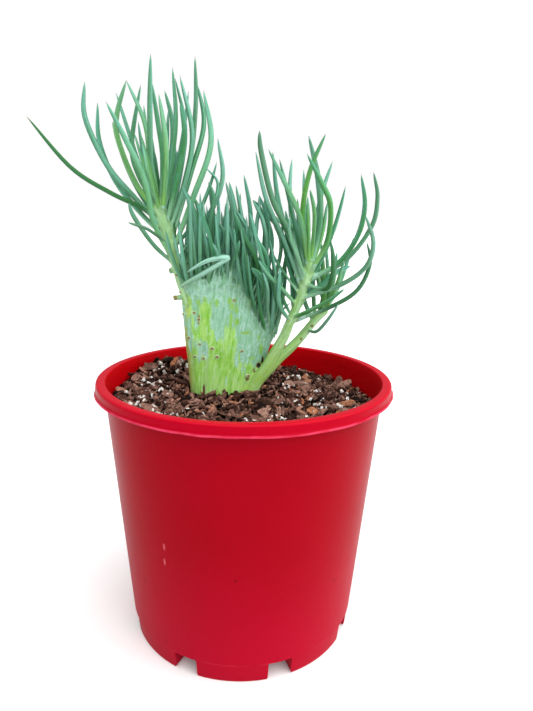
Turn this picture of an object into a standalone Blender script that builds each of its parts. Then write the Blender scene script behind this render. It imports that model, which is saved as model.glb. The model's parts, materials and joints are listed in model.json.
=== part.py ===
"""Crested chalk sticks in a red nursery pot, 140 mm across the rim.

The pot, the potting mix and four leafy stems are separate closed solids. The plant is a
fasciated (crested) succulent: a flat fan of stem with a comb of round leaves along its
crest, one ordinary leader at its left end and a forked side stem at its right end.

All working sizes are in millimetres from the pot's axis on the ground, with -Y to the
front. One empty, which holds every object, scales them to metres.
"""
import math
import random

import bmesh
import bpy
import numpy as np
from mathutils import Vector

MM = 0.001
CLEARANCE = 0.3            # gap between pieces that touch
POT_AXIS_X = 10.8          # the leaves reach further left, so the pot stands right of centre

# Pot
POT_HEIGHT = 125.3
FOOT_HEIGHT = 9.4
FLOOR_THICKNESS = 1.2
RIM_RADIUS = 69.0
RIM_LIP_RADIUS = 70.0
RIM_DROP = 4.8             # height of the rolled-over band
RIM_INNER_RADIUS = 64.6
BODY_TOP_RADIUS = 65.5
BODY_BASE_RADIUS = 55.7
FOOT_RADIUS = 54.4
FOOT_INNER_RADIUS = 46.5
WALL = 1.2
FEET = 8
GAP_WIDTH = 11.0
GAP_CORNER = 1.5
FIRST_GAP_DEG = -27.0
FOOT_WALL = 3.2            # plastic left outside a foot's pocket and at its ends
DRAIN_SLOT_WIDTH = 6.0
DRAIN_SLOT_REACH = (49.0, 52.0)
POT_SEGMENTS = 48

# Potting mix
MIX_LEVEL = 114.2
BANK_PLACE = (-44.0, 38.0)
BANK_HEIGHT = 6.0
BANK_SPREAD = 22.0
FALL_TO_RIGHT = 0.03
MIX_RINGS = 9
CHIP_SPACING = 12.0
CHIP_RADIUS = (3.6, 5.4)
CHIP_THICKNESS = (1.6, 2.6)
CHIP_TILT = 0.5
CHIP_LIFT = 0.3            # height of a chip's middle above the mix

# Plant
FAN_THICKNESS = 8.5
CREST_THINNING = 0.34      # share of its thickness that the fan loses up to the crest
ROOT_TAPER = 12.0          # how far the fan's ends draw in below the mix
FAN_STEPS_ACROSS = 9
FAN_STEPS_UP = 7
LEAF_SIDES = 5
STEM_SIDES = 10
STEM_COLLAR = 0.8                    # straight run each side of the joint between two pieces
EYE = Vector((0.0, -259.0, 198.0))   # where the leaf outlines below are seen from
FINE_STEPS = 26                      # points along a leaf when its room is measured
ROOM = 0.9                           # least space between leaves of different stems
SEED = 7

# The fan's lower edge, at the mix, and its crest, each from left to right: x, y, z
FAN_BASE = ((-26.6, 4.5, 115), (-18, 3.8, 115), (-9, 5, 115), (-1, 7.5, 115), (6, 9.5, 115))
FAN_CREST = ((-30.5, 3, 168), (-20, 3.5, 170.5), (-10, 4, 172.5), (-4, 5, 170.5),
             (1, 6, 163.5), (5, 8, 155), (9, 10, 147), (14, 12, 143))

# Stem centre lines in the fan's plane as seen from EYE (x, z), with depth and radius at
# the root and at the top, and the height where the stem's own piece starts
LEADER = dict(line=((-20, 147), (-26, 157), (-30, 167), (-31.7, 174), (-33.5, 180.5), (-36, 190.5),
                    (-38.5, 200), (-39.5, 203.5)), depth=(4, 1), radius=(1.0, 2.3), start=171)
TALL = dict(line=((-2, 107), (2.5, 116), (6, 122.5), (9.5, 127.5), (13.5, 135), (18, 143.5), (20.5, 150),
                  (23.5, 157.5), (25.5, 163.5), (27.5, 169), (29.5, 177)),
            depth=(7, 0), radius=(4.0, 1.8), start=140)
LOW = dict(line=((7, 123), (12, 128.5), (15.5, 132.5), (21.5, 138.5), (26, 143.5),
                 (29.5, 148), (33, 152.5), (37.5, 157)),
           depth=(6, 8), radius=(2.5, 1.7), start=138)

# Leaves that give the outline. Each is the height of its root on the stem, its depth at
# the tip, its radius, then points (x, z) from the root's side to the tip, as seen from EYE.
LEADER_LEAVES = (
    (193, -8, 1.35, (-46, 201), (-60, 207.5), (-77, 218), (-94.5, 238.5)),
    (192, -2, 1.65, (-50, 206), (-61, 219), (-69.5, 238), (-69, 252.5)),
    (187, 14, 1.5, (-48, 200), (-58, 213), (-64, 229), (-64, 244.5)),
    (178, -22, 1.6, (-41.5, 195), (-45, 213), (-52.5, 229.5), (-60.5, 245)),
    (176, -8, 1.35, (-42, 185.5), (-50, 197), (-52.5, 203.5)),
    (186, -14, 0.9, (-44, 192), (-53, 195)),
    (196, -14, 1.5, (-49, 212), (-56, 230), (-56, 240), (-51.5, 253.5)),
    (199, 10, 1.3, (-42, 221), (-44.5, 237.5), (-51.5, 253.5)),
    (198, 22, 1.2, (-46, 216.5), (-51, 232), (-56, 248.5)),
    (198, 18, 1.4, (-48, 216), (-50, 229), (-45.5, 252)),
    (200, 24, 1.1, (-42.5, 221.5), (-44.5, 244)),
    (200, -12, 1.1, (-42, 215.5), (-46.5, 233)),
    (199, -18, 1.0, (-43, 213.5), (-45.5, 228.5)),
    (199, -6, 1.1, (-43, 211.5), (-49, 233)),
    (199, -12, 1.5, (-42, 214), (-42, 240), (-41, 264)),
    (200, 6, 1.4, (-37, 222), (-38.5, 236), (-41, 253.5)),
    (198, -20, 1.4, (-36, 215), (-35.5, 230), (-38, 248.5)),
    (198, 14, 1.4, (-33.5, 222), (-32.5, 237), (-35.5, 250)),
    (196, 6, 1.4, (-34, 216), (-31, 238), (-32, 259)),
    (189, 4, 1.6, (-27.5, 213), (-24, 233), (-29, 256)),
    (189, 12, 1.2, (-29, 218), (-27, 236), (-31, 255)),
    (192, -14, 1.3, (-31, 214), (-27.5, 232), (-29, 245.5)),
    (188, 22, 1.4, (-26, 217), (-22.5, 243), (-22.5, 263.5)),
    (186, 12, 1.5, (-25, 216), (-19, 236.5), (-21.5, 252.5)),
    (182, -10, 1.6, (-24, 206), (-16, 229), (-19, 250.5)),
    (176, 16, 1.5, (-18.5, 196), (-11, 214), (-13, 231.5)),
    (178, 6, 0.9, (-18, 198), (-13, 212), (-18, 219)),
)
TALL_LEAVES = (
    (169, -16, 1.65, (20, 190.5), (11.5, 206), (6, 226), (5, 235)),
    (166, 8, 1.5, (17, 188.5), (8.5, 206.5), (3.5, 226.5)),
    (174, -10, 1.5, (24.5, 197), (18.5, 210), (9, 227.5)),
    (167, 20, 1.5, (18.5, 191), (13.5, 208), (11, 226.5)),
    (172, 6, 1.4, (23, 191), (19, 206), (14, 223.5)),
    (170, 22, 1.3, (21, 193), (19, 210), (19.5, 223.5)),
    (174, 10, 1.8, (33, 196), (31.5, 215), (26.5, 233.5)),
    (175, -8, 1.6, (25, 198), (27.5, 218), (34, 234.5)),
    (173, -18, 1.6, (36.5, 188), (37.5, 204), (33, 214), (26, 226)),
    (175, 14, 1.4, (31, 193), (33, 208), (37.5, 223)),
    (176, 4, 1.2, (30.5, 199), (28, 211)),
    (175, -10, 1.0, (28, 195.5), (27, 208)),
    (170, -12, 1.6, (42, 178.5), (50.5, 191), (53, 204.5), (50.5, 218)),
    (171, 4, 1.5, (45, 179.5), (56.5, 195), (58.5, 208), (56, 219)),
    (162, -20, 1.5, (43.5, 168.5), (55, 177), (58, 188), (53.5, 200.5)),
    (150, -10, 1.4, (38, 157.5), (51.5, 166), (57, 178.5), (55, 188.5)),
    (168, -24, 1.35, (36.5, 166.5), (39.5, 171), (40, 180), (38, 189.5)),
    (160, 10, 1.9, (34.5, 168), (41, 174), (48, 177.5)),
    (152, -12, 1.4, (28, 155.5), (38, 161), (46, 167)),
    (175, 8, 1.2, (34, 190), (36, 205.5)),
    (158, -8, 1.3, (17, 166), (10, 173), (5.5, 179.5)),
    (150, -6, 1.3, (15.5, 160), (15.5, 176.5)),
)
LOW_LEAVES = (
    (146, -6, 1.1, (33.5, 146.5), (38.5, 152), (43.5, 160)),
    (155, 12, 1.4, (36, 170), (34, 188)),
    (156, 16, 1.4, (40, 172), (39, 187)),
    (156, 4, 1.3, (42, 168), (45, 180)),
    (157, 20, 1.3, (33, 172), (29, 186)),
)
# The same for the comb, with the root as a fraction along the crest
CREST_LEAVES = (
    (0.02, -8, 1.1, (-18.5, 173.5), (-9, 180), (-18, 180.8), (-28, 172.5)),
    (0.10, 2, 1.4, (-22.5, 183.5), (-23.5, 199), (-29, 211.5)),
    (0.20, 8, 1.5, (-21, 183.5), (-22.5, 197), (-26, 208)),
    (0.24, 4, 1.3, (-18.5, 184), (-19.5, 205.5)),
    (0.30, 12, 1.4, (-14.5, 184), (-15, 199), (-17, 213)),
    (0.34, -3, 1.3, (-12, 181), (-9.5, 189.5), (-14, 197.5)),
    (0.38, 6, 1.3, (-10, 184), (-9.5, 199.5)),
    (0.42, 14, 1.4, (-6.5, 188), (-6.5, 201), (-9.5, 213.5)),
    (0.46, 3, 1.5, (-3.5, 186), (-5, 200), (-8, 213.5)),
    (0.49, 8, 1.3, (-1.5, 186), (-2.5, 199), (-5, 212)),
    (0.52, 12, 1.4, (1.5, 186), (1.5, 201), (-1.5, 216.5)),
    (0.74, -4, 1.3, (7.5, 168), (2, 176)),
    (0.68, -8, 1.4, (5.5, 176), (-1.5, 190.5), (-6, 200.5)),
    (0.60, 2, 1.3, (4.5, 178.5), (0.5, 192), (-4.5, 201)),
    (0.82, -6, 1.3, (10, 177), (4, 190), (1.5, 200)),
    (0.66, 6, 1.5, (9, 182), (7.5, 196), (2.5, 206)),
    (0.72, 10, 1.3, (11.5, 184), (9.5, 197), (5.5, 208)),
    (0.80, 14, 1.3, (15.5, 182), (13, 195), (7.5, 205)),
    (0.92, 12, 1.4, (18, 179), (18.5, 191), (17.5, 201.5)),
    (0.88, 0, 1.1, (13, 160), (13.5, 172), (10.5, 189)),
)
# Leaves placed by rule: how many, on the span of each stem (heights) or of the crest, how
# long, and how far they may lean to the left and right
LEADER_FILL = dict(count=12, span=(180, 202), length=(34, 58), sway=(-1, 1))
TALL_FILL = dict(count=12, span=(150, 176), length=(30, 52), sway=(-1, 0.35))
LOW_FILL = dict(count=8, span=(149, 157), length=(22, 36), sway=(-0.6, 1))
CREST_FILL = dict(count=64, span=(0.06, 1.0), length=(24, 44))

COLOURS = {
    "pot": ((0.55, 0.005, 0.02), 0.35),
    "potting_mix": ((0.09, 0.055, 0.04), 0.9),
    "crested_trunk": ((0.3, 0.55, 0.22), 0.6),
    "leader_stem": ((0.13, 0.38, 0.22), 0.6),
    "tall_side_stem": ((0.14, 0.4, 0.2), 0.6),
    "low_side_stem": ((0.18, 0.42, 0.16), 0.6),
}


def clear_scene():
    for old in list(bpy.data.objects):
        bpy.data.objects.remove(old, do_unlink=True)


def make_material(name):
    colour, roughness = COLOURS[name]
    material = bpy.data.materials.new(name)
    material.use_nodes = True
    shader = material.node_tree.nodes["Principled BSDF"]
    shader.inputs["Base Color"].default_value = (*colour, 1.0)
    shader.inputs["Roughness"].default_value = roughness
    shader.inputs["Metallic"].default_value = 0.0
    return material


def mesh_object(name, bm, frame, collection=None):
    """An object of bm's mesh, in millimetres, held by the frame empty."""
    bmesh.ops.triangulate(bm, faces=[f for f in bm.faces if len(f.verts) > 4])
    mesh = bpy.data.meshes.new(name)
    bm.to_mesh(mesh)
    bm.free()
    made = bpy.data.objects.new(name, mesh)
    (collection or bpy.context.scene.collection).objects.link(made)
    made.parent = frame
    return made


def as_guide(thing):
    thing.hide_render = True
    thing.display_type = "WIRE"
    return thing


def boolean_with(target, operation, collection, solver="EXACT"):
    """Apply one Boolean of a whole collection to the target, then remove its objects."""
    modifier = target.modifiers.new(operation.lower(), "BOOLEAN")
    modifier.operation = operation
    modifier.operand_type = "COLLECTION"
    modifier.collection = collection
    modifier.solver = solver
    bpy.context.view_layer.update()
    evaluated = target.evaluated_get(bpy.context.evaluated_depsgraph_get())
    result = bpy.data.meshes.new_from_object(evaluated)
    target.modifiers.clear()
    target.data = result
    for used in list(collection.objects):
        bpy.data.objects.remove(used, do_unlink=True)
    bpy.data.collections.remove(collection)


def new_collection(name):
    collection = bpy.data.collections.new(name)
    bpy.context.scene.collection.children.link(collection)
    return collection


# Round and swept shapes

def turned(profile, segments):
    """A solid turned about Z from (radius, z) points that start and end on the axis."""
    bm = bmesh.new()
    rings = []
    for radius, z in profile:
        if radius == 0:
            rings.append([bm.verts.new((0, 0, z))])
            continue
        turn = [math.tau * i / segments for i in range(segments)]
        rings.append([bm.verts.new((radius * math.cos(a), radius * math.sin(a), z)) for a in turn])
    for lower, upper in zip(rings, rings[1:]):
        skin(bm, lower, upper)
    bmesh.ops.recalc_face_normals(bm, faces=bm.faces)
    return bm


def skin(bm, ring_a, ring_b):
    """Faces between two rings of one size, or between a ring and a single point."""
    count = max(len(ring_a), len(ring_b))
    for i in range(count):
        j = (i + 1) % count
        if len(ring_a) == 1:
            bm.faces.new((ring_a[0], ring_b[i], ring_b[j]))
        elif len(ring_b) == 1:
            bm.faces.new((ring_a[i], ring_a[j], ring_b[0]))
        else:
            bm.faces.new((ring_a[i], ring_a[j], ring_b[j], ring_b[i]))


def smooth_line(points, steps):
    """Steps points on a Catmull-Rom curve through the given ones."""
    knots = [Vector(p) for p in points]
    knots = [2 * knots[0] - knots[1]] + knots + [2 * knots[-1] - knots[-2]]
    spans = len(knots) - 3
    line = []
    for i in range(steps):
        place = i / (steps - 1) * spans
        k = min(int(place), spans - 1)
        t = place - k
        a, b, c, d = knots[k:k + 4]
        line.append(0.5 * (2 * b + (c - a) * t + (2 * a - 5 * b + 4 * c - d) * t * t
                           + (3 * b - 3 * c + d - a) * t ** 3))
    return line


def at_fraction(line, fraction):
    """The point at a fraction of the line's points, between two of them if need be."""
    place = min(max(fraction, 0.0), 1.0) * (len(line) - 1)
    k = min(int(place), len(line) - 2)
    return line[k].lerp(line[k + 1], place - k)


def swept(line, radii, sides):
    """A closed tube along the line. A last radius of 0 makes a pointed end."""
    bm = bmesh.new()
    rings = []
    side = None
    for i, centre in enumerate(line):
        ahead = (line[min(i + 1, len(line) - 1)] - line[max(i - 1, 0)]).normalized()
        if side is None:
            side = ahead.cross(Vector((0.31, -0.93, 0.18))).normalized()
        side = (side - ahead * side.dot(ahead)).normalized()
        up = ahead.cross(side)
        if radii[i] == 0:
            rings.append([bm.verts.new(centre)])
            continue
        turn = [math.tau * k / sides for k in range(sides)]
        rings.append([bm.verts.new(centre + radii[i] * (math.cos(a) * side + math.sin(a) * up))
                      for a in turn])
    for lower, upper in zip(rings, rings[1:]):
        skin(bm, lower, upper)
    for end in (rings[0], rings[-1]):
        if len(end) > 1:
            bm.faces.new(end)
    bmesh.ops.recalc_face_normals(bm, faces=bm.faces)
    return bm


# Pot

def body_radius(z):
    rise = (z - FOOT_HEIGHT) / (POT_HEIGHT - FOOT_HEIGHT)
    return BODY_BASE_RADIUS + (BODY_TOP_RADIUS - BODY_BASE_RADIUS) * rise


def inner_radius(z):
    return body_radius(z) - WALL


def pot_profile():
    """Outline from the raised underside, round the foot ring, up the wall and over the rim."""
    band_low = POT_HEIGHT - RIM_DROP
    channel_top = POT_HEIGHT - WALL
    skirt_inner = RIM_RADIUS - WALL
    return [
        (0, FOOT_HEIGHT), (FOOT_INNER_RADIUS, FOOT_HEIGHT), (FOOT_INNER_RADIUS, 0),
        (FOOT_RADIUS - 0.6, 0), (FOOT_RADIUS, 0.6), (BODY_BASE_RADIUS, FOOT_HEIGHT),
        (body_radius(band_low), band_low), (body_radius(channel_top), channel_top),
        (skirt_inner - 0.3, channel_top), (skirt_inner, band_low),
        (RIM_LIP_RADIUS, band_low), (RIM_LIP_RADIUS, band_low + 0.7),
        (RIM_RADIUS, band_low + 1.1), (RIM_RADIUS - 0.1, POT_HEIGHT - 0.7),
        (RIM_RADIUS - 0.8, POT_HEIGHT), (0, POT_HEIGHT),
    ]


def gap_angle(index):
    return math.radians(FIRST_GAP_DEG + index * 360 / FEET)


def outward(angle):
    """Unit vector from the pot's axis, with the angle counted from the front to the right."""
    return Vector((math.sin(angle), -math.cos(angle), 0))


def radial_prism(name, outline, near, far, angle, frame, collection):
    """A block with an outline of (sideways, z) points, reaching from near to far."""
    bm = bmesh.new()
    out = outward(angle)
    across = Vector((-out.y, out.x, 0))
    rings = [[bm.verts.new(out * reach + across * s + Vector((0, 0, z))) for s, z in outline]
             for reach in (near, far)]
    skin(bm, *rings)
    for end in rings:
        bm.faces.new(end)
    bmesh.ops.recalc_face_normals(bm, faces=bm.faces)
    return as_guide(mesh_object(name, bm, frame, collection))


def gap_outline():
    """The gap between two feet: upright sides that flare round the feet's lower corners."""
    half = GAP_WIDTH / 2
    arc = [math.radians(a) for a in (0, 30, 60, 90)]
    flare = [(half + GAP_CORNER * (1 - math.cos(a)), GAP_CORNER * (1 - math.sin(a))) for a in arc]
    right = [(half, FOOT_HEIGHT)] + flare + [(half + GAP_CORNER, -2)]
    return right + [(-s, z) for s, z in reversed(right)]


def foot_pocket_outline():
    """The hollow inside one foot, open to the pot above."""
    half = math.pi * (FOOT_INNER_RADIUS + WALL) / FEET - GAP_WIDTH / 2 - FOOT_WALL
    top = FOOT_HEIGHT + FLOOR_THICKNESS + 1
    return [(-half, WALL), (half, WALL), (half, top), (-half, top)]


def make_pot(frame):
    pot = mesh_object("pot", turned(pot_profile(), POT_SEGMENTS), frame)
    cutters = new_collection("pot_cutters")
    floor_top = FOOT_HEIGHT + FLOOR_THICKNESS
    inside = [(0, floor_top), (inner_radius(floor_top), floor_top),
              (inner_radius(POT_HEIGHT) - 0.1, POT_HEIGHT - 1.0),
              (RIM_INNER_RADIUS, POT_HEIGHT - 0.4), (RIM_INNER_RADIUS + 0.5, POT_HEIGHT + 1),
              (0, POT_HEIGHT + 1)]
    as_guide(mesh_object("pot_inside", turned(inside, POT_SEGMENTS), frame, cutters))
    side = DRAIN_SLOT_WIDTH / 2
    low, high = FOOT_HEIGHT - 1, floor_top + 1
    slot = [(-side, low), (side, low), (side, high), (-side, high)]
    for i in range(FEET):
        gap = gap_angle(i)
        foot = gap + math.pi / FEET
        radial_prism("foot_gap", gap_outline(), FOOT_INNER_RADIUS - 6, RIM_RADIUS, gap, frame, cutters)
        radial_prism("foot_pocket", foot_pocket_outline(), FOOT_INNER_RADIUS + WALL,
                     FOOT_RADIUS - FOOT_WALL, foot, frame, cutters)
        radial_prism("drain_slot", slot, *DRAIN_SLOT_REACH, gap, frame, cutters)
    boolean_with(pot, "DIFFERENCE", cutters)
    return pot


# Plant: room between leaves

def along_sight(x, z, depth):
    """The point at this depth that EYE sees at (x, z) in the fan's plane."""
    return EYE + (Vector((x, 0, z)) - EYE) * ((depth - EYE.y) / -EYE.y)


def seen_in_plane(point):
    """Where EYE sees a point in the fan's plane, as (x, z)."""
    hit = EYE + (point - EYE) * (-EYE.y / (point.y - EYE.y))
    return hit.x, hit.z


def leaf_radius(t, radius):
    """Slim at the foot, full in the middle, tapering to a point."""
    foot = min(1.0, 0.7 + 1.1 * t)
    return radius * foot * max(1 - t ** 3, 0.0) ** 0.75


class Garden:
    """Every placed leaf and stem as rows of balls, to find room for the next leaf."""

    def __init__(self):
        self.balls = np.zeros((0, 4))
        self.owner = np.zeros(0, dtype=int)

    def add(self, owner, points, radii):
        rows = np.array([[*p, r] for p, r in zip(points, radii)])
        self.balls = np.vstack([self.balls, rows])
        self.owner = np.append(self.owner, np.full(len(rows), owner))

    def overlap(self, owner, points, radii):
        """The worst lack of room of a new leaf: strict for other stems, mild for its own."""
        rows = np.array([[*p, r] for p, r in zip(points, radii)])
        apart = np.linalg.norm(rows[:, None, :3] - self.balls[None, :, :3], axis=2)
        touch = rows[:, None, 3] + self.balls[None, :, 3]
        foreign = self.owner != owner
        worst = 0.0
        if foreign.any():
            worst = max(worst, (touch + ROOM - apart)[:, foreign].max())
        own = ~foreign
        free = len(rows) // 4
        if own.any():
            worst = max(worst, (touch - apart)[free:, own].max())
        return worst


def sight_leaf(root, depth, radius, outline):
    """Centre line and radii of a leaf whose outline is given as seen from EYE."""
    seen = [seen_in_plane(root)] + list(outline)
    flat = smooth_line([(x, z, 0) for x, z in seen], FINE_STEPS)
    line = []
    for i, place in enumerate(flat):
        t = i / (FINE_STEPS - 1)
        ease = 1 - (1 - t) ** 1.6
        line.append(along_sight(place.x, place.y, root.y + (depth - root.y) * ease))
    radii = [leaf_radius(i / (FINE_STEPS - 1), radius) for i in range(FINE_STEPS)]
    return line, radii


def bend_clear(garden, owner, root, depth, radius, outline):
    """Try depths either side of the wanted one until the leaf crosses nothing."""
    best = None
    for step in range(17):
        shift = (step + 1) // 2 * 2.0 * (1 if step % 2 else -1)
        line, radii = sight_leaf(root, depth + shift, radius, outline)
        lack = garden.overlap(owner, line, radii)
        if best is None or lack < best[0] - 0.05:
            best = (lack, line, radii)
        if lack <= 0:
            break
    return best[1], best[2]


def arched_leaf(root, out, length, lean, radius):
    """A leaf that leaves its stem along out and then turns up."""
    middle = root + out * (0.42 * length * math.sin(lean)) + Vector((0, 0, 0.3 * length))
    tip = root + out * (0.62 * length * math.sin(lean)) + Vector((0, 0, 0.95 * length))
    line = []
    for i in range(FINE_STEPS):
        t = i / (FINE_STEPS - 1)
        line.append(root.lerp(middle, t).lerp(middle.lerp(tip, t), t))
    radii = [leaf_radius(i / (FINE_STEPS - 1), radius) for i in range(FINE_STEPS)]
    return line, radii


# Plant: stems and leaves

def stem_line(stem):
    flat = smooth_line([(x, z, 0) for x, z in stem["line"]], 40)
    near, far = stem["depth"]
    return [along_sight(p.x, p.y, near + (far - near) * i / 39) for i, p in enumerate(flat)]


def stem_radii(stem):
    low, high = stem["radius"]
    return [high + (low - high) * (1 - i / 39) ** 1.7 for i in range(40)]


def root_on_stem(line, height):
    return min(line, key=lambda p: abs(p.z - height))


def crest_line():
    return smooth_line(FAN_CREST, 60)


def leaf_object(line, radii, frame, collection):
    """The leaf's solid: the more the leaf turns, the more rings it gets."""
    runs = [b - a for a, b in zip(line, line[1:])]
    turned_by = sum(a.angle(b) for a, b in zip(runs, runs[1:]))
    segments = 3 + min(5, round(turned_by / 0.4))
    rings = [0.0] + [i / segments for i in range(1, segments)] + [0.93, 1.0]
    points = [at_fraction(line, t) for t in rings]
    sizes = [radii[round(t * (FINE_STEPS - 1))] for t in rings]
    sizes[-1] = 0
    return as_guide(mesh_object("leaf", swept(points, sizes, LEAF_SIDES), frame, collection))


def key_leaves(garden, owner, line, entries):
    leaves = []
    for height, depth, radius, *outline in entries:
        root = root_on_stem(line, height)
        leaf = bend_clear(garden, owner, root, depth, radius, outline)
        garden.add(owner, *leaf)
        leaves.append(leaf)
    return leaves


def crest_key_leaves(garden, owner, entries):
    crest = crest_line()
    leaves = []
    for fraction, depth, radius, *outline in entries:
        root = at_fraction(crest, fraction) - Vector((0, 0, 2.5))
        leaf = bend_clear(garden, owner, root, depth, radius, outline)
        garden.add(owner, *leaf)
        leaves.append(leaf)
    return leaves


def stem_fill(garden, owner, line, fill, seed):
    """Leaves in a spiral round the stem, most of them behind it, where there is room."""
    draw = random.Random(seed)
    leaves = []
    turn = draw.uniform(0, math.tau)
    for attempt in range(fill["count"] * 14):
        if len(leaves) == fill["count"]:
            break
        turn += math.radians(137.5)
        height = draw.uniform(*fill["span"])
        length = draw.uniform(*fill["length"])
        lean = draw.uniform(0.5, 1.1)
        radius = draw.uniform(1.15, 1.5)
        left, right = fill["sway"]
        sideways = min(max(math.cos(turn), left), right)
        out = Vector((sideways, 0.25 + abs(math.sin(turn)), 0)).normalized()
        leaf = arched_leaf(root_on_stem(line, height), out, length, lean, radius)
        if garden.overlap(owner, *leaf) > 0:
            continue
        garden.add(owner, *leaf)
        leaves.append(leaf)
    return leaves


def crest_fill(garden, owner, fill, seed):
    """The comb: leaves in rows along the crest, fanning to the front, up and to the back."""
    draw = random.Random(seed)
    crest = crest_line()
    leaves = []
    for attempt in range(fill["count"] * 16):
        if len(leaves) == fill["count"]:
            break
        fraction = draw.uniform(*fill["span"])
        row = draw.choice((-0.6, 0.0, 0.7, 1.0))
        length = draw.uniform(*fill["length"])
        lean = abs(row) * draw.uniform(0.5, 1.0)
        radius = draw.uniform(1.15, 1.45)
        root = at_fraction(crest, fraction) + Vector((0, 1.6 * row, -2.5))
        left = -0.5 * min(1.0, 3 * fraction)
        out = Vector((draw.uniform(left, 0.3), row + draw.uniform(-0.3, 0.3), 0)).normalized()
        leaf = arched_leaf(root, out, length, lean, radius)
        if garden.overlap(owner, *leaf) > 0:
            continue
        garden.add(owner, *leaf)
        leaves.append(leaf)
    return leaves


def fan_solid(grow=0.0, top=1.0, bottom=-0.34):
    """The flat trunk, lofted from below the mix to the crest. grow makes it larger."""
    base = smooth_line(FAN_BASE, FAN_STEPS_ACROSS)
    crest = smooth_line(FAN_CREST, FAN_STEPS_ACROSS)
    bm = bmesh.new()
    rings = []
    for level in range(FAN_STEPS_UP + 1):
        v = bottom + (top - bottom) * level / FAN_STEPS_UP
        front, back = [], []
        for i in range(FAN_STEPS_ACROSS):
            u = 2 * i / (FAN_STEPS_ACROSS - 1) - 1
            centre = base[i] + (crest[i] - base[i]) * v
            narrow = Vector((u * ROOT_TAPER * min(v, 0.0), 0, 0))
            stretch = Vector((u * grow, 0, 0))
            fullness = 0.2 + 0.8 * math.sqrt(1 - abs(u) ** 3)
            half = FAN_THICKNESS / 2 * (1 - CREST_THINNING * max(v, 0)) * fullness
            centre = centre + narrow + stretch
            front.append(centre - Vector((0, half + grow, 0)))
            back.append(centre + Vector((0, half + grow, 0)))
        loop = front + back[::-1]
        rings.append([bm.verts.new(p) for p in loop])
    for lower, upper in zip(rings, rings[1:]):
        skin(bm, lower, upper)
    for end in (rings[0], rings[-1]):
        for i in range(FAN_STEPS_ACROSS - 1):
            bm.faces.new((end[i], end[i + 1], end[-2 - i], end[-1 - i]))
    bmesh.ops.recalc_face_normals(bm, faces=bm.faces)
    return bm


def split_stem(stem):
    """The stem's line and radii, parted where its own piece starts, a clearance apart."""
    line, radii = stem_line(stem), stem_radii(stem)
    cut = next(i for i, p in enumerate(line) if p.z >= stem["start"])
    ahead = (line[cut + 1] - line[cut - 1]).normalized()
    short = ahead * STEM_COLLAR
    low, high = line[cut], line[cut] + ahead * CLEARANCE
    both = [radii[cut]] * 2
    stub = (line[:cut] + [low - short, low], radii[:cut] + both)
    upper = ([high, high + short] + line[cut + 2:], both + radii[cut + 2:])
    return stub, upper


def thin_out(line, radii, step):
    """Every step-th point of a stem, with the two at each end kept."""
    picks = [0] + list(range(1, len(line) - 3, step)) + [len(line) - 2, len(line) - 1]
    return [line[i] for i in picks], [radii[i] for i in picks]


def make_leafy_stem(name, upper, leaves, frame):
    line, radii = thin_out(*upper, 4)
    stem = mesh_object(name, swept(line, radii, STEM_SIDES), frame)
    blades = new_collection(name + "_leaves")
    for leaf in leaves:
        leaf_object(*leaf, frame, blades)
    boolean_with(stem, "UNION", blades)
    return stem


def make_trunk(stubs, leaves, frame):
    trunk = mesh_object("crested_trunk", fan_solid(), frame)
    parts = new_collection("crest_parts")
    for stub in stubs:
        line, radii = thin_out(*stub, 4)
        as_guide(mesh_object("stub", swept(line, radii, STEM_SIDES), frame, parts))
    for leaf in leaves:
        leaf_object(*leaf, frame, parts)
    boolean_with(trunk, "UNION", parts)
    return trunk


def make_plant(frame):
    stems = {"leader_stem": LEADER, "tall_side_stem": TALL, "low_side_stem": LOW}
    keys = {"leader_stem": LEADER_LEAVES, "tall_side_stem": TALL_LEAVES, "low_side_stem": LOW_LEAVES}
    fills = {"leader_stem": LEADER_FILL, "tall_side_stem": TALL_FILL, "low_side_stem": LOW_FILL}
    garden = Garden()
    split = {name: split_stem(stem) for name, stem in stems.items()}
    trunk_owner = len(stems)
    for owner, name in enumerate(stems):
        garden.add(trunk_owner, *split[name][0])
        garden.add(owner, *split[name][1])
    crest = crest_line()
    garden.add(trunk_owner, [p - Vector((0, 0, 3)) for p in crest], [3.2] * len(crest))
    lines = {name: split[name][1][0] for name in stems}
    grown = {name: key_leaves(garden, owner, lines[name], keys[name])
             for owner, name in enumerate(stems)}
    comb = crest_key_leaves(garden, trunk_owner, CREST_LEAVES)
    for owner, name in enumerate(stems):
        grown[name] += stem_fill(garden, owner, lines[name], fills[name], SEED + owner)
    comb += crest_fill(garden, trunk_owner, CREST_FILL, SEED)
    made = [make_leafy_stem(name, split[name][1], grown[name], frame) for name in stems]
    made.append(make_trunk([split[name][0] for name in stems], comb, frame))
    return made


# Potting mix

def mix_height(x, y):
    """The mix is uneven, and banked a little to the back left."""
    away = math.hypot(x - BANK_PLACE[0], y - BANK_PLACE[1]) / BANK_SPREAD
    bank = BANK_HEIGHT * math.exp(-away * away) - FALL_TO_RIGHT * x
    bumps = 0.5 * math.sin(0.61 * x + 1.3) * math.cos(0.53 * y) + 0.4 * math.sin(0.9 * y - 0.7 * x)
    return MIX_LEVEL + bank + bumps


def beside_trunk(x, y, reach):
    """Whether a chip of this reach would touch the hole that the trunk stands in."""
    left, right = FAN_BASE[0][0], FAN_BASE[-1][0]
    ends = (left - reach - 3 < x < right + reach + 4)
    return ends and abs(y - 6) < FAN_THICKNESS / 2 + reach + 2.5


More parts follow.
